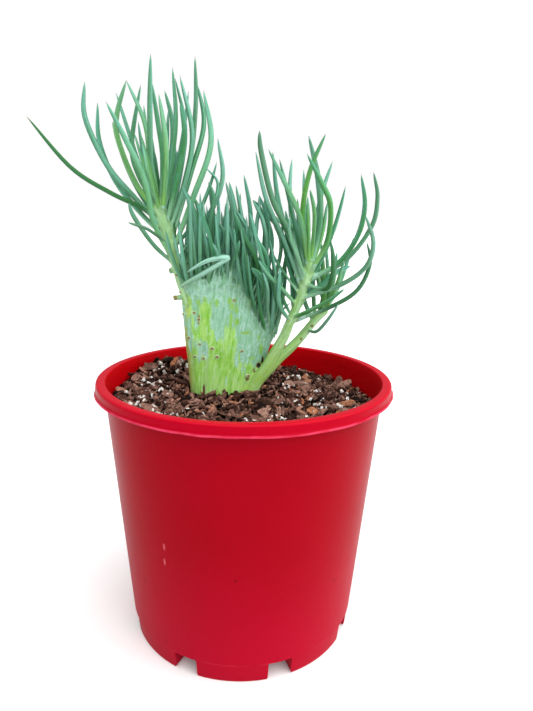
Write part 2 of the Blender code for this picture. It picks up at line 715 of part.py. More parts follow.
def bark_chip(draw, x, y, radius):
    """A flat five-sided flake, tilted and half sunk in the mix."""
    half = draw.uniform(*CHIP_THICKNESS) / 2
    stretch = draw.uniform(0.55, 0.9)
    heading = draw.uniform(0, math.tau)
    tilt = Vector((draw.uniform(-1, 1), draw.uniform(-1, 1), 0)) * CHIP_TILT
    bm = bmesh.new()
    rings = []
    for side in (-1, 1):
        ring = []
        for i in range(5):
            angle = math.tau * i / 5 + draw.uniform(-0.25, 0.25)
            long = radius * draw.uniform(0.85, 1.1) * math.cos(angle)
            wide = radius * stretch * math.sin(angle)
            px = long * math.cos(heading) - wide * math.sin(heading)
            py = long * math.sin(heading) + wide * math.cos(heading)
            pz = side * half + tilt.x * px + tilt.y * py
            ring.append(bm.verts.new((x + px, y + py, mix_height(x, y) + CHIP_LIFT + pz)))
        rings.append(ring)
    skin(bm, *rings)
    for end in rings:
        bm.faces.new(end)
    bmesh.ops.recalc_face_normals(bm, faces=bm.faces)
    return bm


def scatter_chips(frame, collection):
    """Bark chips on a jittered grid, clear of the trunk and of the pot's wall."""
    draw = random.Random(SEED)
    edge = inner_radius(MIX_LEVEL) - 1.0
    reach = int(edge / CHIP_SPACING) + 1
    for i in range(-reach, reach + 1):
        for j in range(-reach, reach + 1):
            x = (i + draw.uniform(-0.35, 0.35)) * CHIP_SPACING
            y = (j + draw.uniform(-0.35, 0.35)) * CHIP_SPACING
            radius = draw.uniform(*CHIP_RADIUS)
            chip = bark_chip(draw, x, y, radius)
            if math.hypot(x, y) + 1.2 * radius > edge or beside_trunk(x, y, radius):
                chip.free()
                continue
            as_guide(mesh_object("bark_chip", chip, frame, collection))


def make_mix(frame):
    bm = bmesh.new()
    top_radius = inner_radius(MIX_LEVEL) - CLEARANCE
    bottom_z = FOOT_HEIGHT + FLOOR_THICKNESS + CLEARANCE
    rings = [[bm.verts.new((0, 0, mix_height(0, 0)))]]
    for k in range(1, MIX_RINGS + 1):
        ring = []
        for i in range(6 * k):
            angle = math.tau * i / (6 * k)
            reach = top_radius * k / MIX_RINGS
            x, y = reach * math.cos(angle), reach * math.sin(angle)
            z = mix_height(x, y)
            if k == MIX_RINGS:
                wider = (inner_radius(z) - CLEARANCE) / reach
                x, y = x * wider, y * wider
            ring.append(bm.verts.new((x, y, z)))
        rings.append(ring)
    skin(bm, rings[0], rings[1])
    for k in range(1, MIX_RINGS):
        stitch(bm, rings[k], rings[k + 1], k)
    foot = []
    for vert in rings[-1]:
        scale = (inner_radius(bottom_z) - CLEARANCE) / math.hypot(vert.co.x, vert.co.y)
        foot.append(bm.verts.new((vert.co.x * scale, vert.co.y * scale, bottom_z)))
    skin(bm, rings[-1], foot)
    bm.faces.new(foot)
    bmesh.ops.recalc_face_normals(bm, faces=bm.faces)
    mix = mesh_object("potting_mix", bm, frame)
    chips = new_collection("bark_chips")
    scatter_chips(frame, chips)
    boolean_with(mix, "UNION", chips, "MANIFOLD")
    holes = new_collection("stem_holes")
    hole = fan_solid(grow=CLEARANCE + 0.1, top=0.3, bottom=-0.36)
    as_guide(mesh_object("trunk_hole", hole, frame, holes))
    stub, sizes = thin_out(*split_stem(TALL)[0], 4)
    wide = [size + CLEARANCE + 0.1 for size in sizes]
    below = [stub[0] - (stub[1] - stub[0]).normalized() * (CLEARANCE + 0.1)] + stub[1:]
    as_guide(mesh_object("arm_hole", swept(below, wide, STEM_SIDES), frame, holes))
    boolean_with(mix, "DIFFERENCE", holes)
    return mix


def stitch(bm, inner, outer, k):
    """Triangles between a ring of 6k points and one of 6(k + 1)."""
    for sector in range(6):
        for j in range(k + 1):
            a = inner[(sector * k + j) % len(inner)]
            b = outer[(sector * (k + 1) + j) % len(outer)]
            c = outer[(sector * (k + 1) + j + 1) % len(outer)]
            bm.faces.new((a, b, c))
            if j < k:
                bm.faces.new((a, c, inner[(sector * k + j + 1) % len(inner)]))


def finish(made):
    for piece in made:
        piece.data.materials.clear()
        piece.data.materials.append(make_material(piece.name))
        piece.data.shade_smooth()
        piece.data.set_sharp_from_angle(angle=math.radians(40))


def main():
    clear_scene()
    frame = bpy.data.objects.new("pot_axis", None)
    bpy.context.scene.collection.objects.link(frame)
    frame.location = (POT_AXIS_X * MM, 0, 0)
    frame.scale = (MM, MM, MM)
    made = [make_pot(frame), make_mix(frame)] + make_plant(frame)
    finish(made)


main()
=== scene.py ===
# %% [markdown]
# # Crested chalk sticks in a red nursery pot
# The imported model is the fixed frame: it says where the pot, the mix and each stem stand.
# This script gives every one of them its real surface. It starts by reading the frame.

# %% The frame
import json
import math
import random

import bmesh
import bpy
import numpy as np
from mathutils import Matrix, Vector, noise
from mathutils.bvhtree import BVHTree
from mathutils.kdtree import KDTree

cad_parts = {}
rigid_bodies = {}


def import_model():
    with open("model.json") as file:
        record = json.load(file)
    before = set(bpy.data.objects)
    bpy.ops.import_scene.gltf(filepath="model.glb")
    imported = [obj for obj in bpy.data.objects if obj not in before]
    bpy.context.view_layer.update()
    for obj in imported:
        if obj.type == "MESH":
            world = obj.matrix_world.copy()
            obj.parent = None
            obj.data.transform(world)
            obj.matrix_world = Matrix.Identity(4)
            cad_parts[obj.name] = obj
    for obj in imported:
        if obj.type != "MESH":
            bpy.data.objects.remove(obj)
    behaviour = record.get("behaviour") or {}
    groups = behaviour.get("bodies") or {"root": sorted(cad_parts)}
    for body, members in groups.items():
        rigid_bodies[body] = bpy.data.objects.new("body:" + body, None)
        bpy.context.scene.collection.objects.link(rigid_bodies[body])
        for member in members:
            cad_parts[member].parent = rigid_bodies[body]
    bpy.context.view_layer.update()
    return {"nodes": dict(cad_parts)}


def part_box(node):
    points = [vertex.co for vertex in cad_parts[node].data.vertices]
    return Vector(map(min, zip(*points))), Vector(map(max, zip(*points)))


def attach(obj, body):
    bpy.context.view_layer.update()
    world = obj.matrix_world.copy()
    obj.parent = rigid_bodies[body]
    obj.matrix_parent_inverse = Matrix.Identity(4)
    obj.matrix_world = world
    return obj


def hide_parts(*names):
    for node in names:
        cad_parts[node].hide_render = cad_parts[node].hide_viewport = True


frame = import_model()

scene = bpy.context.scene
print("nodes in the frame:", ", ".join(sorted(frame["nodes"])))

# %% [markdown]
# ## Units
# A plant like this is measured in millimetres from the middle of its pot, so all sizes
# below are written that way. The pot's own box in the frame gives the place of that middle.
# Meshes are made in millimetres and moved into the frame once, when they are finished.

# %% Millimetres from the pot's axis
MM = 0.001
pot_low, pot_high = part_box("pot")
POT_AXIS = Vector(((pot_low.x + pot_high.x) / 2, (pot_low.y + pot_high.y) / 2, 0))
TO_FRAME = Matrix.Translation(POT_AXIS) @ Matrix.Scale(MM, 4)
POT_HEIGHT = pot_high.z / MM
LIP_RADIUS = (pot_high.x - pot_low.x) / 2 / MM
print(f"pot axis at x = {POT_AXIS.x / MM:.1f} mm, pot {POT_HEIGHT:.1f} mm high")

# %% [markdown]
# ## Camera
# The photo was taken from close by and a little above the rim. A pinhole camera with no
# shift and no depth of field, put at the same place, gives the same perspective. Its lens
# follows from the focal length measured in the photo's own pixels.

# %% The photo's viewpoint
PHOTO_SIZE = (533, 711)
FOCAL_PIXELS = 560.0
SENSOR = 36.0
EYE_PLACE = Vector((0.0, -259.15, 198.16))
YAW, PITCH, ROLL = 0.03901, 0.24062, -0.020605


def camera_axes():
    """The camera's right, up and forward directions."""
    forward = Vector((math.sin(YAW) * math.cos(PITCH), math.cos(YAW) * math.cos(PITCH), -math.sin(PITCH)))
    level = Vector((math.cos(YAW), -math.sin(YAW), 0))
    upright = level.cross(forward)
    right = math.cos(ROLL) * level - math.sin(ROLL) * upright
    up = math.sin(ROLL) * level + math.cos(ROLL) * upright
    return right, up, forward


RIGHT, UP, FORWARD = camera_axes()


def sight_line(pixel):
    """The direction in which the photo's camera sees a pixel."""
    across = (pixel[0] - PHOTO_SIZE[0] / 2) / FOCAL_PIXELS
    down = (pixel[1] - PHOTO_SIZE[1] / 2) / FOCAL_PIXELS
    return (FORWARD + across * RIGHT - down * UP).normalized()


def linked(name, data):
    """A new object that holds the data, in the scene."""
    thing = bpy.data.objects.new(name, data)
    scene.collection.objects.link(thing)
    return thing


def make_camera():
    camera = bpy.data.cameras.new("photo_camera")
    camera.sensor_fit = "VERTICAL"
    camera.sensor_width = camera.sensor_height = SENSOR
    camera.lens = FOCAL_PIXELS / PHOTO_SIZE[1] * SENSOR
    camera.clip_start = 0.01
    turn = Matrix((RIGHT, UP, -FORWARD)).transposed().to_4x4()
    turn.translation = TO_FRAME @ EYE_PLACE
    scene.camera = linked("photo_camera", camera)
    scene.camera.matrix_world = turn
    return camera.lens


print(f"lens {make_camera():.1f} mm on a {SENSOR:.0f} mm sensor")

# %% [markdown]
# ## Node trees as Python sums
# Materials and Geometry Nodes are both node trees. The small class Wire holds one output
# socket and lets it be used in a sum, so that 1 - mask adds its own Math node. The class
# Tree makes every other node with one method: first its settings, then its sockets.

# %% Wires and trees
def operator(operation, reflected=False):
    """A method that adds a Math node. In the reflected form the other value comes first."""
    def method(self, other):
        first, second = (other, self) if reflected else (self, other)
        return self.tree.add("ShaderNodeMath", {"operation": operation}, {0: first, 1: second})
    return method


class Wire:
    """An output socket that can be added, subtracted, multiplied and so on."""

    def __init__(self, tree, socket):
        self.tree = tree
        self.socket = socket

    __add__ = __radd__ = operator("ADD")
    __mul__ = __rmul__ = operator("MULTIPLY")
    __sub__ = operator("SUBTRACT")
    __rsub__ = operator("SUBTRACT", reflected=True)
    __truediv__ = operator("DIVIDE")
    __pow__ = operator("POWER")
    __lt__ = operator("LESS_THAN")
    __gt__ = operator("GREATER_THAN")


class Tree:
    """A node tree with one method that makes any node."""

    def __init__(self, tree):
        self.tree = tree
        self.tree.nodes.clear()

    def add(self, kind, settings=None, sockets=None, out=0):
        """Make a node, set it, plug values or wires into its sockets, and give back an output."""
        node = self.tree.nodes.new(kind)
        for name, value in (settings or {}).items():
            setattr(node, name, value)
        for name, value in (sockets or {}).items():
            self.plug(node.inputs[name], value)
        return Wire(self, node.outputs[out]) if node.outputs else node

    def plug(self, socket, value):
        if isinstance(value, Wire):
            self.tree.links.new(value.socket, socket)
        else:
            socket.default_value = value


# %% [markdown]
# ## Words for surfaces
# The same few sentences come back in every finish: blend two colours, lay coats over each
# other, fade from one value to another, raise a bump. They are methods here, so that each
# finish below reads as a recipe, with its colours as screen values from 0 to 255.

# %% Finish: a material being written
def srgb(red, green, blue):
    """The shader's linear values for a colour given by its screen values."""
    shares = (red / 255, green / 255, blue / 255)
    return tuple(c / 12.92 if c <= 0.04045 else ((c + 0.055) / 1.055) ** 2.4 for c in shares)


class Finish(Tree):
    """A material of one Principled shader, with its colours and masks as wires."""

    def __init__(self, name, **constants):
        self.material = bpy.data.materials.new(name)
        self.material.use_nodes = True
        super().__init__(self.material.node_tree)
        self.shader = self.tree.nodes.new("ShaderNodeBsdfPrincipled")
        output = self.tree.nodes.new("ShaderNodeOutputMaterial")
        self.tree.links.new(self.shader.outputs[0], output.inputs[0])
        for socket, value in constants.items():
            self.set(socket.replace("_", " "), value)

    def set(self, socket, value):
        self.plug(self.shader.inputs[socket], value)

    def place(self):
        return self.add("ShaderNodeTexCoord", out="Object")

    def attributes(self, *names, out="Fac"):
        """What the mesh's points carry under these names, each as a wire."""
        return [self.add("ShaderNodeAttribute", {"attribute_name": name}, out=out) for name in names]

    def noise(self, vector, size, detail=2.0, roughness=0.5, distortion=0.0, stretch=None):
        """Soft noise with blobs of about this size, and longer where stretch is under 1."""
        if stretch:
            vector = self.add("ShaderNodeMapping", None, {"Vector": vector, "Scale": stretch})
        sockets = {"Vector": vector, "Scale": 1 / size, "Detail": detail,
                   "Roughness": roughness, "Distortion": distortion}
        return self.add("ShaderNodeTexNoise", None, sockets)

    def fade(self, value, low, high, start=0.0, end=1.0):
        """From start to end, smoothly, while the value goes from low to high."""
        sockets = {"Value": value, "From Min": low, "From Max": high, "To Min": start, "To Max": end}
        return self.add("ShaderNodeMapRange", {"interpolation_type": "SMOOTHSTEP"}, sockets)

    def mix(self, amount, first, second):
        """From the first colour to the second, by the amount."""
        first, second = (c if isinstance(c, Wire) else (*srgb(*c), 1.0) for c in (first, second))
        return self.add("ShaderNodeMix", {"data_type": "RGBA"}, {0: amount, 6: first, 7: second}, out=2)

    def coat(self, colour, *coats):
        """The colour under coats of (amount, colour), each laid over the last."""
        for amount, over in coats:
            colour = self.mix(amount, colour, over)
        return colour

    def ramp(self, value, *stops):
        """The value as a colour, blended between stops of (place, colour)."""
        wire = self.add("ShaderNodeValToRGB", None, {"Fac": value})
        elements = wire.socket.node.color_ramp.elements
        while len(elements) < len(stops):
            elements.new(0.5)
        for element, (place, colour) in zip(elements, stops):
            element.position = place
            element.color = (*srgb(*colour), 1.0)
        return wire

    def parts(self, vector):
        """The x, y and z of a vector as three wires."""
        split = self.tree.nodes.new("ShaderNodeSeparateXYZ")
        self.plug(split.inputs[0], vector)
        return [Wire(self, output) for output in split.outputs]

    def bump(self, height, distance, under=None):
        """A normal raised by the height, over another normal if there is one."""
        sockets = {"Height": height, "Distance": distance, "Strength": 1.0}
        if under is not None:
            sockets["Normal"] = under
        return self.add("ShaderNodeBump", None, sockets)


# %% [markdown]
# ## Geometry Nodes and finished pieces
# A Geometry Nodes tree is written the same way. It runs on a source mesh through a modifier
# whose inputs are set by identifier, and what it makes is kept as a plain mesh. Every
# finished piece is moved into the frame, put at the origin and set to ride on the one body.

# %% Sprout: a Geometry Nodes tree, and pieces that stay
def kept_mesh(holder):
    """What an object's modifiers make of it, as a plain mesh. The object is removed."""
    bpy.context.view_layer.update()
    shown = holder.evaluated_get(bpy.context.evaluated_depsgraph_get())
    mesh = bpy.data.meshes.new_from_object(shown)
    bpy.data.objects.remove(holder)
    return mesh


class Sprout(Tree):
    """A Geometry Nodes tree with named inputs."""

    def __init__(self, name, inputs):
        group = bpy.data.node_groups.new(name, "GeometryNodeTree")
        super().__init__(group)
        face = group.interface
        face.new_socket("Geometry", in_out="OUTPUT", socket_type="NodeSocketGeometry")
        face.new_socket("Geometry", in_out="INPUT", socket_type="NodeSocketGeometry")
        kinds = {int: "NodeSocketInt", float: "NodeSocketFloat"}
        for label, value in inputs.items():
            kind = kinds.get(type(value), "NodeSocketObject")
            face.new_socket(label, in_out="INPUT", socket_type=kind)
        self.inputs = inputs
        self.entry = group.nodes.new("NodeGroupInput")
        self.exit = group.nodes.new("NodeGroupOutput")

    def given(self, label):
        return Wire(self, self.entry.outputs[label])

    def vector(self, **parts):
        return self.add("ShaderNodeCombineXYZ", None, parts)

    def shape(self, label):
        """The geometry of the object that is given under this label."""
        return self.add("GeometryNodeObjectInfo", None, {"Object": self.given(label)}, out="Geometry")

    def named(self, name, kind="FLOAT"):
        return self.add("GeometryNodeInputNamedAttribute", {"data_type": kind}, {"Name": name})

    def keep(self, geometry, name, value):
        sockets = {"Geometry": geometry, "Name": name, "Value": value}
        return self.add("GeometryNodeStoreNamedAttribute", {"data_type": "FLOAT", "domain": "POINT"}, sockets)

    def copies(self, points, instance, turn, size=(1.0, 1.0, 1.0), pick=False):
        """A copy on every point, or one of the instances picked for it."""
        sockets = {"Points": points, "Instance": instance, "Pick Instance": pick,
                   "Rotation": turn, "Scale": size}
        return self.add("GeometryNodeInstanceOnPoints", None, sockets)

    def run(self, source, material, geometry):
        """Close the tree with its finish, run it on the source mesh and keep the mesh it makes."""
        real = self.add("GeometryNodeRealizeInstances", None, {"Geometry": geometry})
        made = self.add("GeometryNodeSetMaterial", None, {"Geometry": real, "Material": material})
        self.plug(self.exit.inputs[0], made)
        holder = linked("source", source)
        modifier = holder.modifiers.new("sprout", "NODES")
        modifier.node_group = self.tree
        for item in self.tree.interface.items_tree:
            if item.in_out == "INPUT" and item.name in self.inputs:
                modifier[item.identifier] = self.inputs[item.name]
        return kept_mesh(holder)


def settle(name, mesh, nodes):
    """A finished piece: its mesh in the frame, its object at the origin, on the one body."""
    mesh.transform(TO_FRAME)
    mesh.name = name
    piece = linked(name, mesh)
    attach(piece, "root")
    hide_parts(*nodes)
    print(f"{name}: {sum(len(p.vertices) - 2 for p in mesh.polygons)} triangles")


def mesh_of(bm, name):
    mesh = bpy.data.meshes.new(name)
    bm.to_mesh(mesh)
    bm.free()
    return mesh


# %% [markdown]
# ## Floor and light
# A nursery photographs its plants in soft daylight on a white ground. A pale floor, an even
# sky, one broad sun above and a weaker one low at the right give the same light: the shadows
# are soft, the pot is brighter on its right and the floor stays white. The sky that lights
# the plant is dimmer than the white that the camera sees behind it, so that the foliage
# keeps its dark gaps.

# %% The stage
FLOOR_COLOUR = (0.93, 0.93, 0.93)
FLOOR_RADIUS = 9.0
SKY_FOR_CAMERA = 1.0
SKY_FOR_PLANT = 0.52
SUN = dict(toward=(0.36, -0.44, 1.0), power=3.9, spread=105)
SIDE_SUN = dict(toward=(1.0, -0.45, 0.28), power=1.4, spread=80)


def make_floor():
    bm = bmesh.new()
    bmesh.ops.create_circle(bm, cap_ends=True, segments=96, radius=FLOOR_RADIUS)
    floor = linked("floor", mesh_of(bm, "floor"))
    floor.data.materials.append(Finish("pale_floor", Base_Color=(*FLOOR_COLOUR, 1.0), Roughness=0.9).material)


def make_sky():
    scene.world = bpy.data.worlds.new("sky")
    scene.world.use_nodes = True
    tree = Tree(scene.world.node_tree)
    seen = tree.add("ShaderNodeLightPath", out="Is Camera Ray")
    strength = SKY_FOR_PLANT + seen * (SKY_FOR_CAMERA - SKY_FOR_PLANT)
    sky = tree.add("ShaderNodeBackground", None, {"Color": (1.0, 1.0, 1.0, 1.0), "Strength": strength})
    tree.add("ShaderNodeOutputWorld", None, {"Surface": sky})
    scene.view_settings.view_transform = "Standard"


def make_sun(name, toward, power, spread):
    """A broad sun: the wider its spread, the softer the shadows."""
    data = bpy.data.lights.new(name, "SUN")
    data.energy = power
    data.angle = math.radians(spread)
    linked(name, data).rotation_euler = Vector(toward).to_track_quat("Z", "Y").to_euler()


make_floor()
make_sky()
make_sun("broad_sun", **SUN)
make_sun("side_sun", **SIDE_SUN)
print("lights:", len(bpy.data.lights))

# %% [markdown]
# ## Pot
# The pot is moulded in one piece of glossy plastic. Its wall is a turned shape, so one
# profile of radius and height makes it: up the outside, over the rolled rim and down the
# inside. The rim's thin lower lip is a little wavy, as the mould leaves it. The gaps between
# the feet repeat round the base, so Geometry Nodes place the cutters and cut them all at once.

# %% The pot's sizes
FOOT_HEIGHT = 9.4
FLOOR_THICKNESS = 1.2
FLOOR_TOP = FOOT_HEIGHT + FLOOR_THICKNESS
WALL = 1.2
RIM_RADIUS = LIP_RADIUS - 1.0
RIM_INNER_RADIUS = 64.6
RIM_DROP = 4.8
BODY_TOP_RADIUS = 65.5
BODY_BASE_RADIUS = 55.7
WALL_SLOPE = (BODY_TOP_RADIUS - BODY_BASE_RADIUS) / (POT_HEIGHT - FOOT_HEIGHT)
FOOT_RADIUS = 54.4
FOOT_INNER_RADIUS = 46.5
FEET = 8
GAP_WIDTH = 11.0
GAP_CORNER = 1.5
FIRST_GAP_DEG = -27.0
SLOT_RADII = (49, 52)
SLOT_HALF_WIDTH = 3
POT_SEGMENTS = 240
LIP_WAVE = 0.4


def body_radius(z):
    rise = (z - FOOT_HEIGHT) / (POT_HEIGHT - FOOT_HEIGHT)
    return BODY_BASE_RADIUS + (BODY_TOP_RADIUS - BODY_BASE_RADIUS) * rise


def inner_radius(z):
    return body_radius(z) - WALL


print(f"wall radius {BODY_BASE_RADIUS} mm at the foot and {BODY_TOP_RADIUS} mm at the rim")

# %% [markdown]
# The profile goes round the section of the wall once. Turning it makes rings of points, and
# the same helper joins the rings of every other lofted piece in this file.

# %% The turned body
def rounded(centre, radius, start, end, steps=5):
    """Points of an arc from one angle to another, in degrees, as (radius, z)."""
    turn = [math.radians(start + (end - start) * i / steps) for i in range(steps + 1)]
    return [(centre[0] + radius * math.cos(a), centre[1] + radius * math.sin(a)) for a in turn]


def pot_profile():
    """The wall's outline from the middle of the underside round to the middle of the floor."""
    lip_z = POT_HEIGHT - RIM_DROP
    under_rim = POT_HEIGHT - WALL - 0.4
    outer = [(0, FOOT_HEIGHT), (FOOT_INNER_RADIUS - 0.5, FOOT_HEIGHT), (FOOT_INNER_RADIUS, FOOT_HEIGHT - 0.5),
             (FOOT_INNER_RADIUS, 0.5), (FOOT_INNER_RADIUS + 0.5, 0)]
    outer += rounded((FOOT_RADIUS - 0.8, 0.8), 0.8, -90, -5)
    outer += [(BODY_BASE_RADIUS - 0.35, FOOT_HEIGHT - 0.25), (BODY_BASE_RADIUS, FOOT_HEIGHT)]
    outer += [(body_radius(z), z) for z in np.linspace(FOOT_HEIGHT + 4, lip_z - 2, 12)]
    outer += [(body_radius(lip_z) + 0.05, lip_z), (body_radius(POT_HEIGHT - WALL), under_rim),
              (RIM_RADIUS - WALL - 0.3, under_rim), (RIM_RADIUS - WALL, lip_z + 0.1),
              (LIP_RADIUS - 0.25, lip_z), (LIP_RADIUS, lip_z + 0.2), (LIP_RADIUS - 0.05, lip_z + 0.5),
              (RIM_RADIUS + 0.2, lip_z + 0.9), (RIM_RADIUS, lip_z + 1.3), (RIM_RADIUS + 0.05, lip_z + 2.6)]
    rim = rounded((RIM_RADIUS - 1.1, POT_HEIGHT - 1.1), 1.1, 0, 90, 6)
    rim += rounded((RIM_INNER_RADIUS + 0.7, POT_HEIGHT - 0.7), 0.7, 90, 180, 4)
    inner = [(inner_radius(z), z) for z in np.linspace(POT_HEIGHT - 2.2, FLOOR_TOP + 1, 40)]
    return outer + rim + inner + [(inner_radius(FOOT_HEIGHT) - 1, FLOOR_TOP), (0, FLOOR_TOP)]


def join_rings(bm, rings):
    """Faces between closed rings of points. A ring of one point is a pole."""
    for lower, upper in zip(rings, rings[1:]):
        sides = max(len(lower), len(upper))
        for i in range(sides):
            j = (i + 1) % sides
            corners = [ring[k % len(ring)] for ring, k in ((lower, i), (lower, j), (upper, j), (upper, i))]
            bm.faces.new(list(dict.fromkeys(corners)))


def close_rings(bm, rings):
    """Faces between rings of one size, with both ends closed."""
    join_rings(bm, rings)
    bm.faces.new(rings[0])
    bm.faces.new(rings[-1])


def outward(bm):
    bmesh.ops.recalc_face_normals(bm, faces=bm.faces)
    return bm


def turned(profile, segments):
    """A closed solid turned about Z. Its lip waves a little, as the mould leaves it."""
    bm = bmesh.new()
    rings = []
    for radius, z in profile:
        wave = LIP_WAVE if radius > RIM_RADIUS + 0.5 else 0.0
        ring = []
        for i in range(segments if radius else 1):
            a = math.tau * i / segments
            rag = wave * (noise.noise(Vector((9 * math.cos(a), 9 * math.sin(a), 0.5))) - 0.5)
            ring.append(bm.verts.new(((radius + rag) * math.cos(a), (radius + rag) * math.sin(a), z + rag)))
        rings.append(ring)
    join_rings(bm, rings)
    return mesh_of(outward(bm), "turned")


print(len(pot_profile()), "points round the section of the wall")

# %% [markdown]
# One cutter is the shape of a gap: upright sides that flare round the lower corners of the
# two feet beside it. It reaches outwards along X, and the tree turns a copy to each gap.

# %% Gap and drain cutters
def radial_block(outline, near, far):
    """A solid with an outline of (sideways, z) points that reaches from near to far along X."""
    bm = bmesh.new()
    close_rings(bm, [[bm.verts.new((reach, s, z)) for s, z in outline] for reach in (near, far)])
    return outward(bm)


def gap_cutter():
    half = GAP_WIDTH / 2
    arc = [math.radians(a) for a in range(0, 91, 15)]
    flare = [(half + GAP_CORNER * (1 - math.cos(a)), GAP_CORNER * (1 - math.sin(a))) for a in arc]
    right = [(half - 0.6, FOOT_HEIGHT), (half, FOOT_HEIGHT - 0.6)] + flare + [(half + GAP_CORNER, -2)]
    outline = right + [(-s, z) for s, z in reversed(right)]
    bm = radial_block(outline, FOOT_INNER_RADIUS - 6, RIM_RADIUS)
    side, low, high = SLOT_HALF_WIDTH, FOOT_HEIGHT - 1, FLOOR_TOP + 1
    slot = radial_block([(-side, low), (side, low), (side, high), (-side, high)], *SLOT_RADII)
    bm.from_mesh(mesh_of(slot, "slot"))
    return linked("gap_cutter", mesh_of(bm, "gap_cutter"))


def cut_feet(body, cutter, material):
    """Turn a copy of the cutter to every gap and cut them all from the turned body."""
    sprout = Sprout("feet", {"Feet": FEET, "First gap": math.radians(FIRST_GAP_DEG - 90), "Cutter": cutter})
    spots = sprout.add("GeometryNodePoints", None, {"Count": sprout.given("Feet")})
    number = sprout.add("GeometryNodeInputIndex")
    angle = sprout.given("First gap") + number * math.tau / sprout.given("Feet")
    copies = sprout.copies(spots, sprout.shape("Cutter"), sprout.vector(Z=angle))
    cutters = sprout.add("GeometryNodeRealizeInstances", None, {"Geometry": copies})
    settings = {"operation": "DIFFERENCE", "solver": "EXACT"}
    meshes = {"Mesh 1": sprout.given("Geometry"), "Mesh 2": cutters}
    mesh = sprout.run(body, material, sprout.add("GeometryNodeMeshBoolean", settings, meshes))
    bpy.data.objects.remove(cutter)
    return mesh


# %% [markdown]
# The plastic is a saturated red with a soft gloss. Its finish has what such pots show: a
# faint orange-peel unevenness, fine turning lines on the inner wall, a few dark specks of mix
# and two pale scuffs. Painted light is laid in its colour too: a pinker red low down that is a
# painted reflection of the floor, a lighter rim face and rim top, a painted highlight along
# the thin lower edge of the rim and a lighter inner wall. Every mark is placed on Object coordinates.

# %% Red plastic
SPECKS = ((134, 566), (144.5, 581), (138, 612), (166, 641.5), (334.5, 581), (235.6, 581.5), (329, 648.5))
SCUFFS = ((164, 547), (164.5, 562))
SIGHT_STEPS = 400
NEAR_WALL = 0.05


def spot_on_wall(pixel):
    """Where the photo's camera sees the pot's outer wall, in the frame's metres."""
    step = sight_line(pixel)
    point = EYE_PLACE.copy()
    for _ in range(SIGHT_STEPS):
        gap = math.hypot(point.x, point.y) - body_radius(point.z)
        if gap < NEAR_WALL:
            break
        point += step * max(gap * 0.5, NEAR_WALL)
    return TO_FRAME @ point


def specks(finish, place, pixels, size, squash):
    """Soft spots of this radius on the wall: 1 at their centres and 0 outside."""
    spots = 0.0
    for pixel in pixels:
        sockets = {0: place, 1: tuple(spot_on_wall(pixel))}
        moved = finish.add("ShaderNodeVectorMath", {"operation": "SUBTRACT"}, sockets)
        moved = finish.add("ShaderNodeVectorMath", {"operation": "MULTIPLY"}, {0: moved, 1: squash})
        reach = finish.add("ShaderNodeVectorMath", {"operation": "LENGTH"}, {0: moved}, out="Value")
        spots = spots + finish.fade(reach, size, size * 0.4)
    return spots


def red_plastic():
    finish = Finish("red_plastic", Specular_IOR_Level=0.03)
    place = finish.place()
    x, y, z = finish.parts(place)
    radius = ((x - POT_AXIS.x) ** 2.0 + (y - POT_AXIS.y) ** 2.0) ** 0.5
    wall_radius = z * WALL_SLOPE + (BODY_BASE_RADIUS - FOOT_HEIGHT * WALL_SLOPE - WALL / 2) * MM
    inside = (radius < wall_radius) * (z > (FOOT_HEIGHT + 2) * MM)
    cloud = finish.noise(place, 0.03, detail=3)
    peel_cloud = finish.noise(place, 0.011, detail=3)
    # Painted reflection: the pinker red that this mask lays low down stands in for the floor seen in the
    # gloss. The same mask makes the plastic a little rougher there.
    low_down_sheen = finish.fade(z, 0.075, 0.0)
    off_seam = ((z - FOOT_HEIGHT * MM) ** 2.0) ** 0.5
    seam = finish.fade(off_seam, 0.0004, 0.0001) * finish.fade(peel_cloud, 0.4, 0.6)
    # Painted light: the rim's outer face and its top are laid a lighter red, as they catch the light.
    rim_face_light = finish.fade(radius, (RIM_RADIUS - 0.9) * MM, (RIM_RADIUS - 0.3) * MM)
    rim_top_light = finish.fade(z, (POT_HEIGHT - 0.8) * MM, (POT_HEIGHT - 0.2) * MM)
    # Painted highlight: a pale pink line along the thin lower edge of the rim, where it catches the light
    # from above.
    lip_highlight = finish.fade(radius, (RIM_RADIUS + 0.25) * MM, (RIM_RADIUS + 0.55) * MM)
    colour = finish.coat(
        finish.mix(cloud, (136, 0, 14), (147, 0, 21)),
        (low_down_sheen * 0.6, (166, 6, 40)),
        (seam * 0.5, (196, 60, 80)),
        (rim_face_light, (160, 0, 26)),
        (rim_top_light, (180, 14, 34)),
        (lip_highlight * finish.fade(peel_cloud, 0.35, 0.65, 0.3, 1.0), (200, 58, 86)),
        # Painted light: the inner wall is laid a lighter red than the outside, to brighten it where the pot
        # shades it.
        (inside * 0.8, (196, 4, 10)),
        (specks(finish, place, SPECKS, 0.0006, (1.3, 1.3, 0.7)), (60, 8, 12)),
        (specks(finish, place, SCUFFS, 0.0016, (2.2, 2.2, 0.7)) * 0.5, (214, 110, 122)))
    finish.set("Base Color", colour)
    smear = finish.noise(place, 0.006, detail=4, roughness=0.6, stretch=(1, 1, 0.25))
    finish.set("Roughness", 0.27 + smear * 0.12 + inside * 0.12 + low_down_sheen * 0.1)
    settings = {"wave_type": "BANDS", "bands_direction": "Z"}
    rings = finish.add("ShaderNodeTexWave", settings, {"Vector": place, "Scale": 330.0, "Distortion": 0.4})
    peel = finish.bump(finish.noise(place, 0.004), 0.00006)
    finish.set("Normal", finish.bump(rings * inside, 0.00005, under=peel))
    return finish.material


def make_pot():
    mesh = cut_feet(turned(pot_profile(), POT_SEGMENTS), gap_cutter(), red_plastic())
    mesh.shade_smooth()
    mesh.set_sharp_from_angle(angle=math.radians(38))
    settle("nursery_pot", mesh, ["pot"])


make_pot()
